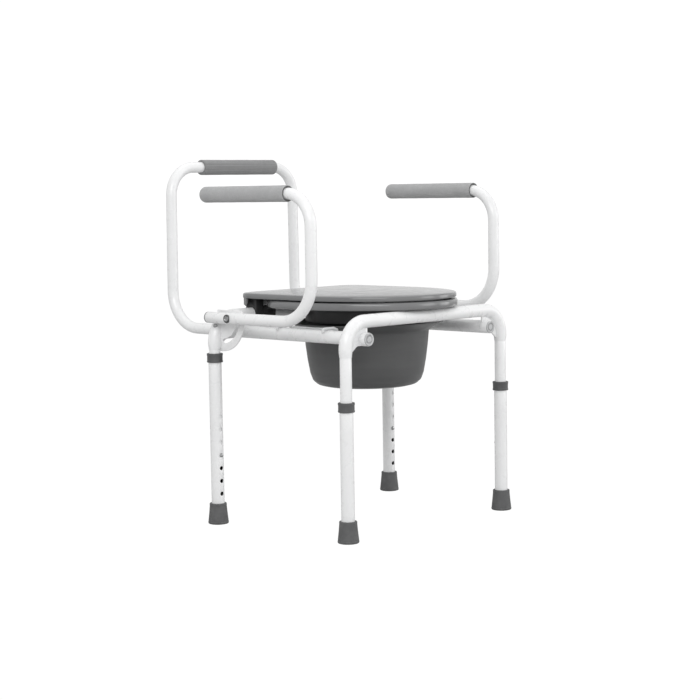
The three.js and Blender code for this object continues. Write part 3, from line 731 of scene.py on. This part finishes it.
def snap_button(name, x, y, facing):
    """Domed button and the folded strip spring that carries it."""
    body = f"button_{name}"
    lathe(f"button_{name}", BUTTON_PROFILE, (x, y, BUTTON_Z), STEEL, body,
          f"snap_button_{name}", axis="y", flip=facing < 0, seg=28)
    # (offset towards the button, height from the button, bend radius)
    path = [(8.2, -8, 0), (8.2, 4, 6), (2.1, 43, 2.2), (-3.9, 4, 6), (-3.9, -8, 0)]
    line = bent([(x, y + facing * v, BUTTON_Z + h, r) for v, h, r in path],
                steps_per_90=8, longest=10)
    across = vec(3, 0, 0)
    rings = []
    for point, tangent in zip(line, frames(line)[0]):
        half = unit(np.cross(tangent, vec(1, 0, 0))) * 0.35
        rings.append([point + across + half, point + across - half,
                      point - across - half, point - across + half])
    add_piece(f"button_spring_{name}", loft(rings, cap_first=True, cap_last=True),
              STEEL, body)


# end, x, y, top of the lower leg, way the button faces along Y (towards the middle)
for end, leg_x, y, top, facing in (("front", FRONT_X, -LEG_Y, LEG_TOP_FRONT, 1),
                                   ("rear", REAR_X, LEG_Y, LEG_TOP_REAR, -1)):
    for sign, side in SIDES:
        name, x = f"{end}_{side}", sign * leg_x
        leg_tubes(name, x, y, top, facing)
        leg_collar(name, x, y, top, facing)
        lathe(f"tip_{name}", TIP_PROFILE, (x, y, 0), RUBBER, f"leg_{name}",
              f"leg_tip_{name}", seg=56, corner=0.5)
        snap_button(name, x, y, facing)

# ------------------------------------------------------------------ backrest
BOLT_SEAT = TUBE_R + 0.3
# (radius, distance out from the rail's centre line)
BACK_BOLT = [(0, 2), (3, 2), (3, BOLT_SEAT), (5.6, BOLT_SEAT), (5.6, BOLT_SEAT + 1.0),
             (4.4, BOLT_SEAT + 2.6), (2.2, BOLT_SEAT + 3.3), (1.6, BOLT_SEAT + 3.3),
             (1.4, BOLT_SEAT + 1.6), (0, BOLT_SEAT + 1.6)]


def back_tube():
    line = bent([(-RAIL_X, 176, RAIL_Z, 0), (-RAIL_X, BACK_Y, RAIL_Z, BACK_LOW_R),
                 (-BACK_X, BACK_Y, BACK_Z, BACK_TOP_R), (BACK_X, BACK_Y, BACK_Z, BACK_TOP_R),
                 (RAIL_X, BACK_Y, RAIL_Z, BACK_LOW_R), (RAIL_X, 176, RAIL_Z, 0)])
    tube = sweep("back_tube", line, INNER_R, INNER_BORE, PAINT, "frame", "backrest_tube")
    cut(tube, [rod_tool("x", BACK_BOLT_HOLE_R, 14,
                        (sign * (RAIL_X + 14), BACK_BOLT_Y, RAIL_Z)) for sign, _ in SIDES])


def back_grip():
    """Foam sleeve along the backrest's top; its surface is gently uneven."""
    profile = [(11.6, -90.4), (14.8, -90.4), (15.5, -90.0), (15.85, -89.2)]
    for x in np.linspace(-86, 110, 40):
        profile.append((15.8 + 0.06 * math.sin(x * 0.07) + 0.04 * math.sin(x * 0.23), x))
    profile += [(15.85, 113.2), (15.5, 114.0), (14.8, 114.4), (11.6, 114.4), (11.6, -90.4)]
    lathe("grip_back", profile, (0, BACK_Y, BACK_Z), FOAM_BACK_SHADED, "frame", "backrest_grip",
          axis="x", seg=64)


back_tube()
for sign, side in SIDES:
    lathe(f"bolt_back_{side}", BACK_BOLT, (sign * RAIL_X, BACK_BOLT_Y, RAIL_Z), STEEL,
          "frame", f"back_bolt_{side}", axis="x", flip=sign < 0, seg=32, corner=0.3)
back_grip()

# ------------------------------------------------------------------ arm pivots
PLATE_X, WASHER_X = 240.1, 245.65
PLATE_DEPTH, PLATE_REAR, PLATE_TOP = 67.0, 12.6, 14.0
PIVOT_HOLE_R, SLOT_HALF = 4.4, 4.5
WASHER = [(4.5, -3.85), (8.6, -3.85), (9, -3.4), (9, 3.4), (8.6, 3.85), (4.5, 3.85)]
RIVET = [(0, -3), (4.0, -3), (4.1, 1.0), (3.2, 2.0), (1.5, 2.4), (0, 2.45)]


def slot_outline():
    """Curved slot about the pivot, round at both ends."""
    start, end = 180.0, 180.0 + DROP_ANGLE
    start_at, end_at = arc(0, 0, LOCK_R, start, end, 1)
    return (arc(0, 0, LOCK_R + SLOT_HALF, start, end, 24)
            + arc(*end_at, SLOT_HALF, end + 10, end + 170, 8)
            + arc(0, 0, LOCK_R - SLOT_HALF, end, start, 24)
            + arc(*start_at, SLOT_HALF, start + 190, start + 350, 8))


def quadrant(sign, side):
    """Slotted quadrant plate welded to the rear crossbar's bend."""
    at = (sign * PLATE_X, PIVOT_Y, ARM_Z0)
    # (y, z) from the pivot
    outline = [(PLATE_REAR, PLATE_TOP), (-52, PLATE_TOP), (-56.4, 12.4), (-58, 9)]
    outline += ellipse(64, PLATE_DEPTH, 0, range(180, 271, 5))
    outline.append((PLATE_REAR, -PLATE_DEPTH))
    plate = add_piece(f"quadrant_{side}", plate_mesh(outline, "x", 3.0, at), PAINT,
                      "frame", f"quadrant_plate_{side}")
    cut(plate, [tool(plate_mesh(slot_outline(), "x", 9.0, at)),
                rod_tool("x", PIVOT_HOLE_R, 6, at),
                tool(sweep_mesh(bar_line(REAR_X, LEG_Y, 325), TUBE_R - 0.4, seg=48))],
        bevel=0.4)
    for k, offset in enumerate((1.9, -1.9)):
        y = LEG_Y - math.sqrt(TUBE_R ** 2 - (REAR_X - PLATE_X - offset) ** 2) - 0.2
        line = [vec(sign * (PLATE_X + offset), y, z) for z in np.linspace(346, 368, 16)]
        weld_bead(f"quadrant_bead_{side}_{k}", line, radius=1.35, seed=21 + k)


for sign, side in SIDES:
    quadrant(sign, side)
    lathe(f"washer_{side}", WASHER, (sign * WASHER_X, PIVOT_Y, ARM_Z0), CLIP, "frame",
          f"pivot_washer_{side}", axis="x", closed=True, seg=40, corner=0.25)
    # rivet head on the bend, just under the arm
    lathe(f"rivet_{side}", RIVET, (sign * 249.6, 161.9, 391.6), STEEL, "frame",
          axis="x", flip=sign < 0, seg=28, corner=0.4)

# ------------------------------------------------------------------ arms
LOCK_Y = PIVOT_Y - LOCK_R
ARM_GRIP_SPAN = {"left": (-68.5, 168.5), "right": (-62.5, 172.5)}    # front and rear y
# (radius, distance back from the tube's end, corner radius)
END_PLUG = [(0, -7.5), (9.1, -7.5), (9.1, 0.15), (10.6, 0.15), (10.9, 0.6),
            (10.9, 3.3, 0.6), (9.6, 4.8, 1.0), (7.8, 5.1), (7.2, 4.5), (0, 4.6)]
# (radius, distance back from the grip's front end)
FOAM_FACE = [(12.55, -0.12), (14.3, -0.12), (14.75, 0.1), (14.4, 1.2), (12.55, 1.2)]
# (radius, distance out from the arm's centre line)
PIVOT_BOLT = [(0, -26.4), (2.4, -26.4), (2.9, -24.9), (3.4, -26.2), (5.6, -25.9),
              (7.0, -24.6), (7.2, -22.5), (4.0, -22.5), (4.0, 2), (6.6, 2), (6.6, 7), (0, 7)]
LOCK_PIN = [(0, -23.4), (3.0, -23.4), (3.8, -22.6), (3.8, 4.5), (5.7, 4.5), (5.7, 11.6),
            (5.2, 12.6), (4.2, 13.1), (3.6, 12.5), (0, 12.3)]
LOCK_BEZEL = [(6.0, 9.2), (8.2, 9.2), (8.4, 11.0), (7.9, 12.2), (6.6, 12.4), (6.0, 11.8)]


def arm_tube(sign, side):
    x = sign * ARM_X
    line = bent([(x, ARM_END, ARM_Z0, 0), (x, ARM_Y0, ARM_Z0, ARM_LOW_R),
                 (x, ARM_Y0, ARM_Z1, ARM_TOP_R), (x, 158, ARM_Z1, 0)])
    tube = sweep(f"arm_frame_{side}", line, INNER_R, INNER_BORE, PAINT, f"arm_{side}",
                 f"arm_tube_{side}", seg=48)
    inner_x, outer_x = sign * (ARM_X - 9), sign * (ARM_X + 9)
    cut(tube, [rod_tool("x", PIVOT_HOLE_R, 7, (inner_x, PIVOT_Y, ARM_Z0)),
               rod_tool("x", 4.2, 7, (inner_x, LOCK_Y, ARM_Z0)),
               rod_tool("x", 6.1, 7, (outer_x, LOCK_Y, ARM_Z0))], bevel=0.3)


def arm_grip(side, x, front, rear):
    """Foam sleeve: cut square in front, rounded shut behind, gently uneven between."""
    profile = [(12.6, front), (14.5, front), (15.1, front + 0.35), (15.45, front + 1.1)]
    for y in np.linspace(front + 5, rear - 10, 40):
        wave = 0.07 * math.sin(y * 0.083) + 0.05 * math.sin(y * 0.21 + 1.0)
        profile.append((15.42 + wave, y))
    # (radius, distance in from the rear end)
    closing = [(15.45, 8), (15.3, 6), (14.8, 4), (13.9, 2.3), (12.6, 1.1), (10.8, 0.3),
               (9.0, 0), (0, -0.02), (0, 8.5), (11.45, 8.5)]
    profile += [(r, rear - inset) for r, inset in closing]
    profile += [(11.45, front + 14), (12.6, front)]
    lathe(f"grip_arm_{side}", profile, (x, 0, ARM_Z1), FOAM, f"arm_{side}",
          f"arm_grip_{side}", axis="y", seg=64)


def arm(sign, side):
    x, body = sign * ARM_X, f"arm_{side}"
    front, rear = ARM_GRIP_SPAN[side]
    arm_tube(sign, side)
    arm_grip(side, x, front, rear)
    lathe(f"end_plug_{side}", END_PLUG, (x, ARM_END, ARM_Z0), PLUG, body,
          f"arm_end_plug_{side}", axis="y", corner=0.35)
    lathe(f"foam_face_{side}", FOAM_FACE, (x, front, ARM_Z1), FOAM_CUT, body,
          axis="y", closed=True, seg=64, corner=0.12)
    across = dict(axis="x", flip=sign < 0, corner=0.3)
    lathe(f"pivot_{side}", PIVOT_BOLT, (x, PIVOT_Y, ARM_Z0), STEEL, body,
          f"pivot_bolt_{side}", seg=36, **across)
    lock_at = (x, LOCK_Y, ARM_Z0)
    lathe(f"lock_pin_{side}", LOCK_PIN, lock_at, STEEL, f"lock_{side}",
          f"lock_button_{side}", seg=40, **across)
    lathe(f"lock_bezel_{side}", LOCK_BEZEL, lock_at, DARK_STEEL, body, closed=True,
          seg=40, **across)


for sign, side in SIDES:
    arm(sign, side)


# ------------------------------------------------------------------ pail supports
def pail_wire(sign, side):
    """Wire hooked over the side rail, dipping inward to carry the pail's rim."""
    outer_x, top, low = RAIL_X + 16.2, 391.4, 387.0
    front, rear = PAIL_Y - 69, PAIL_Y + 56
    # (distance out from the middle, y, z, bend radius)
    path = [(outer_x, front, 383, 0), (outer_x, front, top, 4), (162, front, top, 6),
            (152.6, front, low + 0.6, 4), (149.6, front + 3, low, 3),
            (149.6, rear - 3, low, 3), (152.6, rear, low + 0.6, 4),
            (162, rear, top, 6), (outer_x, rear, top, 4), (outer_x, rear, 383, 0)]
    line = bent([(sign * x, y, z, r) for x, y, z, r in path], steps_per_90=8, longest=20)
    sweep(f"pail_wire_{side}", line, 2.5, 0, WIRE, "frame", f"pail_support_wire_{side}",
          seg=20, dome=True)


for sign, side in SIDES:
    pail_wire(sign, side)

# ------------------------------------------------------------------ pail
# (radius, z, corner radius): up the outside, over the rim and down the inside
PAIL_PROFILE = [
    (0, PAIL_Z0 + 1.2), (70, PAIL_Z0 + 1.2), (74, PAIL_Z0), (86, PAIL_Z0, 4),
    (98.5, PAIL_Z0 + 3, 14), (107.5, PAIL_Z0 + 11, 12), (112.7, PAIL_Z0 + 24.8, 18),
    (117.8, 318, 40), (121.3, 345, 40), (PAIL_R, 373, 6), (126.6, 376.2, 4),
    (150.2, 390.6, 2), (152.4, 390.4, 0.8), (PAIL_RIM_R, 390.6, 0.6),
    (PAIL_RIM_R, PAIL_TOP_Z - 0.2, 0.6), (149.5, PAIL_TOP_Z, 2), (125.4, 379.2, 4),
    (121.8, 374, 4), (119.1, 345, 40), (115.6, 318, 40), (110.5, PAIL_Z0 + 25.8, 16),
    (105.9, PAIL_Z0 + 13, 10), (97.8, PAIL_Z0 + 5.2, 12), (86, PAIL_Z0 + 2.4, 4),
    (0, PAIL_Z0 + 2.4)]
lathe("pail_shell", PAIL_PROFILE, (0, PAIL_Y, 0), PAIL, "pail", "pail", seg=160,
      smooth=50, corner=0.6, steps=6)

# ------------------------------------------------------------------ seat and lid
RING_POINTS = 200
SEAT_BACK_LENGTH, SEAT_BACK_POWER = 164.0, 3.2
LID_BACK_X, LID_BACK_Y, LID_CORNER_R = 167.2, 200.0, 42.0
HOLE_RX, HOLE_RY, HOLE_Y = 103.0, 128.0, -28.0


def seat_back():
    """The seat's rear half, a superellipse."""
    points = []
    for i in range(1, 120):
        cosine, sine = math.cos(math.pi * i / 120), math.sin(math.pi * i / 120)
        across = math.copysign(abs(cosine) ** (2 / SEAT_BACK_POWER), cosine)
        points.append((SEAT_HALF_WIDTH * across,
                       SEAT_BACK_LENGTH * sine ** (2 / SEAT_BACK_POWER)))
    return points


def lid_back():
    """The lid's rear half: sides drawn in slightly towards two round corners."""
    corner_x, corner_y = LID_BACK_X - LID_CORNER_R, LID_BACK_Y - LID_CORNER_R
    edge = [(SEAT_HALF_WIDTH - (SEAT_HALF_WIDTH - LID_BACK_X) * (y / corner_y) ** 1.8, y)
            for y in np.linspace(8, corner_y - 4, 16)]
    return (edge + arc(corner_x, corner_y, LID_CORNER_R, 0, 90, 16)
            + arc(-corner_x, corner_y, LID_CORNER_R, 90, 180, 16)
            + [(-x, y) for x, y in reversed(edge)])


def outline(back_half, inset):
    """Closed, evenly spaced outline moved inward by inset; starts at the right (-X)."""
    front = ellipse(SEAT_HALF_WIDTH, SEAT_FRONT_LENGTH, 0, np.linspace(180, 360, 121))
    points = np.array(front + back_half)
    loop = np.vstack([points, points[:1]])
    along = np.r_[0, np.cumsum(np.linalg.norm(np.diff(loop, axis=0), axis=1))]
    spaced = np.linspace(0, along[-1], RING_POINTS, endpoint=False)
    points = np.c_[np.interp(spaced, along, loop[:, 0]), np.interp(spaced, along, loop[:, 1])]
    for _ in range(3):
        points = (np.roll(points, 1, 0) + 2 * points + np.roll(points, -1, 0)) / 4
    tangents = np.roll(points, -1, 0) - np.roll(points, 1, 0)
    tangents /= np.linalg.norm(tangents, axis=1)[:, None]
    return points + np.c_[-tangents[:, 1], tangents[:, 0]] * inset


def lid_outline(inset):
    return outline(lid_back(), inset + LID_INSET)


def level(points, z):
    return [vec(x, y, z) for x, y in points]


def seat_ring():
    # (inset, z): up the outer edge
    edge = [(5.0, SEAT_Z0 + 0.1), (2.2, SEAT_Z0), (0.9, SEAT_Z0 + 0.9),
            (0.25, SEAT_Z0 + 2.4), (0.0, SEAT_Z0 + 4.5), (0.0, SEAT_Z1 - 5.0),
            (0.5, SEAT_Z1 - 2.9), (1.6, SEAT_Z1 - 1.3), (3.4, SEAT_Z1 - 0.35),
            (6.0, SEAT_Z1), (12.0, SEAT_Z1)]
    # (growth over the hole's own radii, z): down through the oval hole
    hole = [(14, SEAT_Z1 - 0.1), (7, SEAT_Z1 - 1.2), (3, SEAT_Z1 - 3.2),
            (0.8, SEAT_Z1 - 6.0), (0, SEAT_Z1 - 9.0), (0, SEAT_Z0 + 1.2),
            (0.6, SEAT_Z0 + 0.3), (1.6, SEAT_Z0)]
    degrees = 180 + 360 * np.arange(RING_POINTS) / RING_POINTS
    rings = [level(outline(seat_back(), inset), z) for inset, z in edge]
    rings += [level(ellipse(HOLE_RX + grow, HOLE_RY + grow, HOLE_Y, degrees), z)
              for grow, z in hole]
    add_piece("seat_shell", loft(rings, cyclic=True), SEAT, "seat", "seat_ring", smooth=50)


def lid_shell():
    # (inset, z): from the underside's lip round the edge and onto the top
    edge = [(7.6, LID_Z0 + 0.25), (7.0, LID_Z0), (6.3, LID_Z0 + 0.15), (6.0, LID_Z0 + 0.5),
            (5.8, LID_Z0 + 1.0), (5.3, LID_Z0 + 1.15), (1.3, LID_Z0 + 1.2),
            (0.5, LID_Z0 + 1.4), (0.12, LID_Z0 + 1.9), (0.0, LID_Z0 + 2.8),
            (0.05, LID_Z1 - 3.4), (0.35, LID_Z1 - 1.9), (1.1, LID_Z1 - 0.8),
            (2.3, LID_Z1 - 0.1), (4.4, LID_Z1 + 0.35), (8.5, LID_Z1 + 0.85),
            (14.0, LID_Z1 + 1.45)]
    # (inset, z): down the inner side of the lip
    inner_edge = [(14.0, LID_Z1 - 1.5), (10.2, LID_Z1 - 2.4), (8.9, LID_Z1 - 5.0),
                  (8.3, LID_Z0 + 0.8)]
    shrinks = (0.94, 0.87, 0.78, 0.68, 0.57, 0.45, 0.33, 0.21, 0.1)
    base, middle = lid_outline(14.0), np.array((0.0, -5.0))

    def crown(shrink, rim_z, rise):
        return level(middle + (base - middle) * shrink, rim_z + rise * (1 - shrink ** 2.2))

    top = [level(lid_outline(inset), z) for inset, z in edge]
    top += [crown(k, LID_Z1 + 1.45, LID_CROWN_Z - LID_Z1 - 1.45) for k in shrinks]
    under = [crown(k, LID_Z1 - 1.4, LID_CROWN_Z - LID_Z1 - 1.3) for k in reversed(shrinks)]
    under += [level(lid_outline(inset), z) for inset, z in inner_edge]
    verts, faces = loft(top, cap_last=True)
    under_verts, under_faces = loft(under, cap_first=True)
    shift = len(verts)
    verts += under_verts
    faces += [tuple(i + shift for i in face) for face in under_faces]
    # join the underside's last ring to the top's first
    last = len(verts) - RING_POINTS
    for i in range(RING_POINTS):
        j = (i + 1) % RING_POINTS
        faces.append((last + i, last + j, j, i))
    add_piece("lid_shell", (verts, faces), SEAT, "lid", "lid", smooth=50)


def lid_skirt():
    """Thin wall hanging down behind the seat, with a rounded lower edge."""
    start_y, top = 160, LID_Z0 + 1.5
    sections = []
    for a, b in zip(lid_outline(1.3), lid_outline(4.4)):
        if a[1] <= start_y:
            continue
        depth = math.sin(min(1.0, (a[1] - start_y) / 9.0) * math.pi / 2)
        low = 425.6 - 4.6 * min(1.0, max(0.0, (150 - abs(a[0])) / 12.0))
        z = LID_Z0 + 1.0 - (LID_Z0 + 1.0 - low) * depth
        # (share of the way from outer to inner face, z)
        section = [(0, top), (0, z + 1.2), (0.3, z + 0.25), (0.5, z), (0.7, z + 0.25),
                   (1, z + 1.2), (1, top)]
        sections.append([vec(*(a * (1 - share) + b * share), h) for share, h in section])
    add_piece("lid_skirt", loft(sections, cap_first=True, cap_last=True), SEAT, "lid",
              smooth=50)


seat_ring()
lid_shell()
lid_skirt()

# splash guard under the seat: (radius, z, corner radius)
SPLASH_GUARD = [(119, 394.3), (121.2, 394.3), (118.8, 416, 3), (119.6, 419.4, 1),
                (124, 421.2), (124, SEAT_Z0 - 0.3), (113, SEAT_Z0 - 0.3), (116.3, 417, 3)]
lathe("splash_ring", SPLASH_GUARD, (0, PAIL_Y, 0), GUARD_SHADED, "seat", "splash_guard",
      closed=True, seg=120, smooth=50, corner=0.5, steps=4)


# ------------------------------------------------------------------ clips and buffers
def clip(body, side, x, width, front_y, rear_y, top):
    """Block that grips the rear crossbar from above."""
    reach = 16.4
    foot = BAR_Z - 6.5
    outline_yz = [(LEG_Y - 16.2, foot), (LEG_Y - 13.0, foot), (LEG_Y + 13.0, foot),
                  (LEG_Y + 16.2, foot), (LEG_Y + reach, BAR_Z + 8), (rear_y, top),
                  (front_y, top), (front_y, BAR_Z + 13.0), (LEG_Y - reach, BAR_Z + 9)]
    block = add_piece(f"clip_{body}_{side}", plate_mesh(outline_yz, "x", width, (x, 0, 0)),
                      CLIP, body, f"{body}_clip_{side}")
    cut(block, [rod_tool("x", TUBE_R + 0.3, 40, (x, LEG_Y, BAR_Z), 48)], bevel=0.6)


BUFFER_Z0, BUFFER_Z1 = BAR_Z + TUBE_R + 0.15, SEAT_Z0 + 0.2
BUFFER = [(0, BUFFER_Z0), (9, BUFFER_Z0), (9, BUFFER_Z1), (0, BUFFER_Z1)]
for sign, side in SIDES:
    clip("seat", side, x=sign * 112.25, width=30.5, front_y=106, rear_y=LEG_Y + 13,
         top=SEAT_Z0 - 0.2)
    clip("lid", side, x=sign * 139.75, width=19.5, front_y=LEG_Y - 16.4,
         rear_y=LEG_Y + 3, top=LID_Z1 - 4.4)
    lathe(f"pad_seat_{side}", BUFFER, (sign * 62, -LEG_Y, 0), RUBBER, "seat",
          f"seat_buffer_{side}", seg=32, corner=0.3)


# ------------------------------------------------------------------ floor, world, lights
def paper_material():
    """Grey paper that the camera sees as evenly lit white."""
    s = Surface("floor_paper")
    s.set(Base_Color=s.mix(s.mottle(scale=3), (0.50, 0.50, 0.50), (0.52, 0.52, 0.52)),
          Roughness=0.9, Specular_IOR_Level=0.1)
    seen = s.node("ShaderNodeLightPath").outputs["Is Camera Ray"]
    glow = s.node("ShaderNodeEmission", Strength=1.02).outputs[0]
    output = next(q for q in s.tree.nodes if q.type == "OUTPUT_MATERIAL")
    s.feed(output.inputs["Surface"], s.mix_shader(seen, s.principled.outputs[0], glow))
    return s.material


def add_floor():
    half, z = 14, -0.0004    # metres
    data = bpy.data.meshes.new("floor")
    corners = [(-half, -half, z), (half, -half, z), (half, half, z), (-half, half, z)]
    data.from_pydata(corners, [], [(0, 1, 2, 3)])
    floor = bpy.data.objects.new("floor", data)
    bpy.context.scene.collection.objects.link(floor)
    data.materials.append(paper_material())


def build_world():
    """White to the camera; grey by height, brightest at the horizon, to all else."""
    world = bpy.data.worlds.new("studio")
    bpy.context.scene.world = world
    world.use_nodes = True
    world.node_tree.nodes.clear()
    g = Graph(world.node_tree)
    backdrop = g.node("ShaderNodeBackground", Color=(1, 1, 1), Strength=1.05).outputs[0]
    direction = g.node("ShaderNodeTexCoord").outputs["Generated"]
    height = g.node("ShaderNodeSeparateXYZ", Vector=direction).outputs["Z"]
    share = g.node("ShaderNodeMapRange", Value=height, From_Min=-1.0, From_Max=1.0)
    ramp = g.node("ShaderNodeValToRGB", Fac=share.outputs["Result"])
    elements = ramp.color_ramp.elements
    elements[0].position, elements[0].color = 0.0, (0.55, 0.55, 0.55, 1)
    elements[1].position, elements[1].color = 1.0, (0.62, 0.62, 0.62, 1)
    # (height from straight down 0 to straight up 1, grey)
    for position, grey in ((0.49, 0.55), (0.505, 0.76), (0.56, 0.76), (0.63, 0.62),
                           (0.8, 0.52)):
        elements.new(position).color = (grey, grey, grey, 1)
    around = g.node("ShaderNodeBackground", Color=ramp.outputs["Color"], Strength=1.18)
    seen = g.node("ShaderNodeLightPath").outputs["Is Camera Ray"]
    g.node("ShaderNodeOutputWorld", Surface=g.mix_shader(seen, around.outputs[0], backdrop))


def area_light(name, location, target, size, watts):
    """Rectangular light aimed at target; metres."""
    light = bpy.data.lights.new(name, "AREA")
    light.shape = "RECTANGLE"
    light.size, light.size_y = size
    light.energy = watts
    lamp = bpy.data.objects.new(name, light)
    bpy.context.scene.collection.objects.link(lamp)
    lamp.location = location
    aim = Vector(target) - Vector(location)
    lamp.rotation_euler = aim.to_track_quat("-Z", "Y").to_euler()


add_floor()
build_world()
# name, location, target, size, watts
for light_row in (
        ("key", (-2.4, -2.6, 1.9), (0, 0, 0.4), (1.4, 1.4), 24),
        ("near_left", (-1.8, -0.9, 1.5), (-0.2, 0, 0.5), (0.9, 0.9), 9),
        ("overhead", (0.2, 0.3, 2.9), (0, 0, 0.3), (2.6, 2.6), 16),
        ("low_right", (2.7, -1.5, 0.75), (0.15, 0.1, 0.3), (1.2, 1.2), 9),
        ("fill", (1.5, -3.0, 1.2), (0, 0, 0.4), (1.4, 1.8), 17)):
    area_light(*light_row)

# ------------------------------------------------------------------ camera
AZIMUTH, ELEVATION, ROLL = np.radians((-45.67, 5.22, -0.91))
CAMERA_DISTANCE, AIM_ASIDE, AIM_Z = 3507.95, -27.59, 333.67
LENS, SENSOR = 90.617657, 36


def add_camera():
    back = vec(math.sin(AZIMUTH) * math.cos(ELEVATION),
               -math.cos(AZIMUTH) * math.cos(ELEVATION), math.sin(ELEVATION))
    right = vec(math.cos(AZIMUTH), math.sin(AZIMUTH), 0)
    up = np.cross(back, right)
    position = right * AIM_ASIDE + vec(0, 0, AIM_Z) + back * CAMERA_DISTANCE
    rolled_right = math.cos(ROLL) * right + math.sin(ROLL) * up
    rolled_up = -math.sin(ROLL) * right + math.cos(ROLL) * up
    data = bpy.data.cameras.new("camera")
    data.lens, data.sensor_width, data.sensor_fit = LENS, SENSOR, "HORIZONTAL"
    data.clip_end = 100
    camera = bpy.data.objects.new("camera", data)
    bpy.context.scene.collection.objects.link(camera)
    matrix = np.eye(4)
    matrix[:3] = np.c_[rolled_right, rolled_up, back, to_metres(position)[0]]
    camera.matrix_world = Matrix(matrix.tolist())
    bpy.context.scene.camera = camera


add_camera()
bpy.context.scene.view_settings.view_transform = "Standard"
bpy.context.scene.view_settings.look = "None"

bpy.context.view_layer.update()
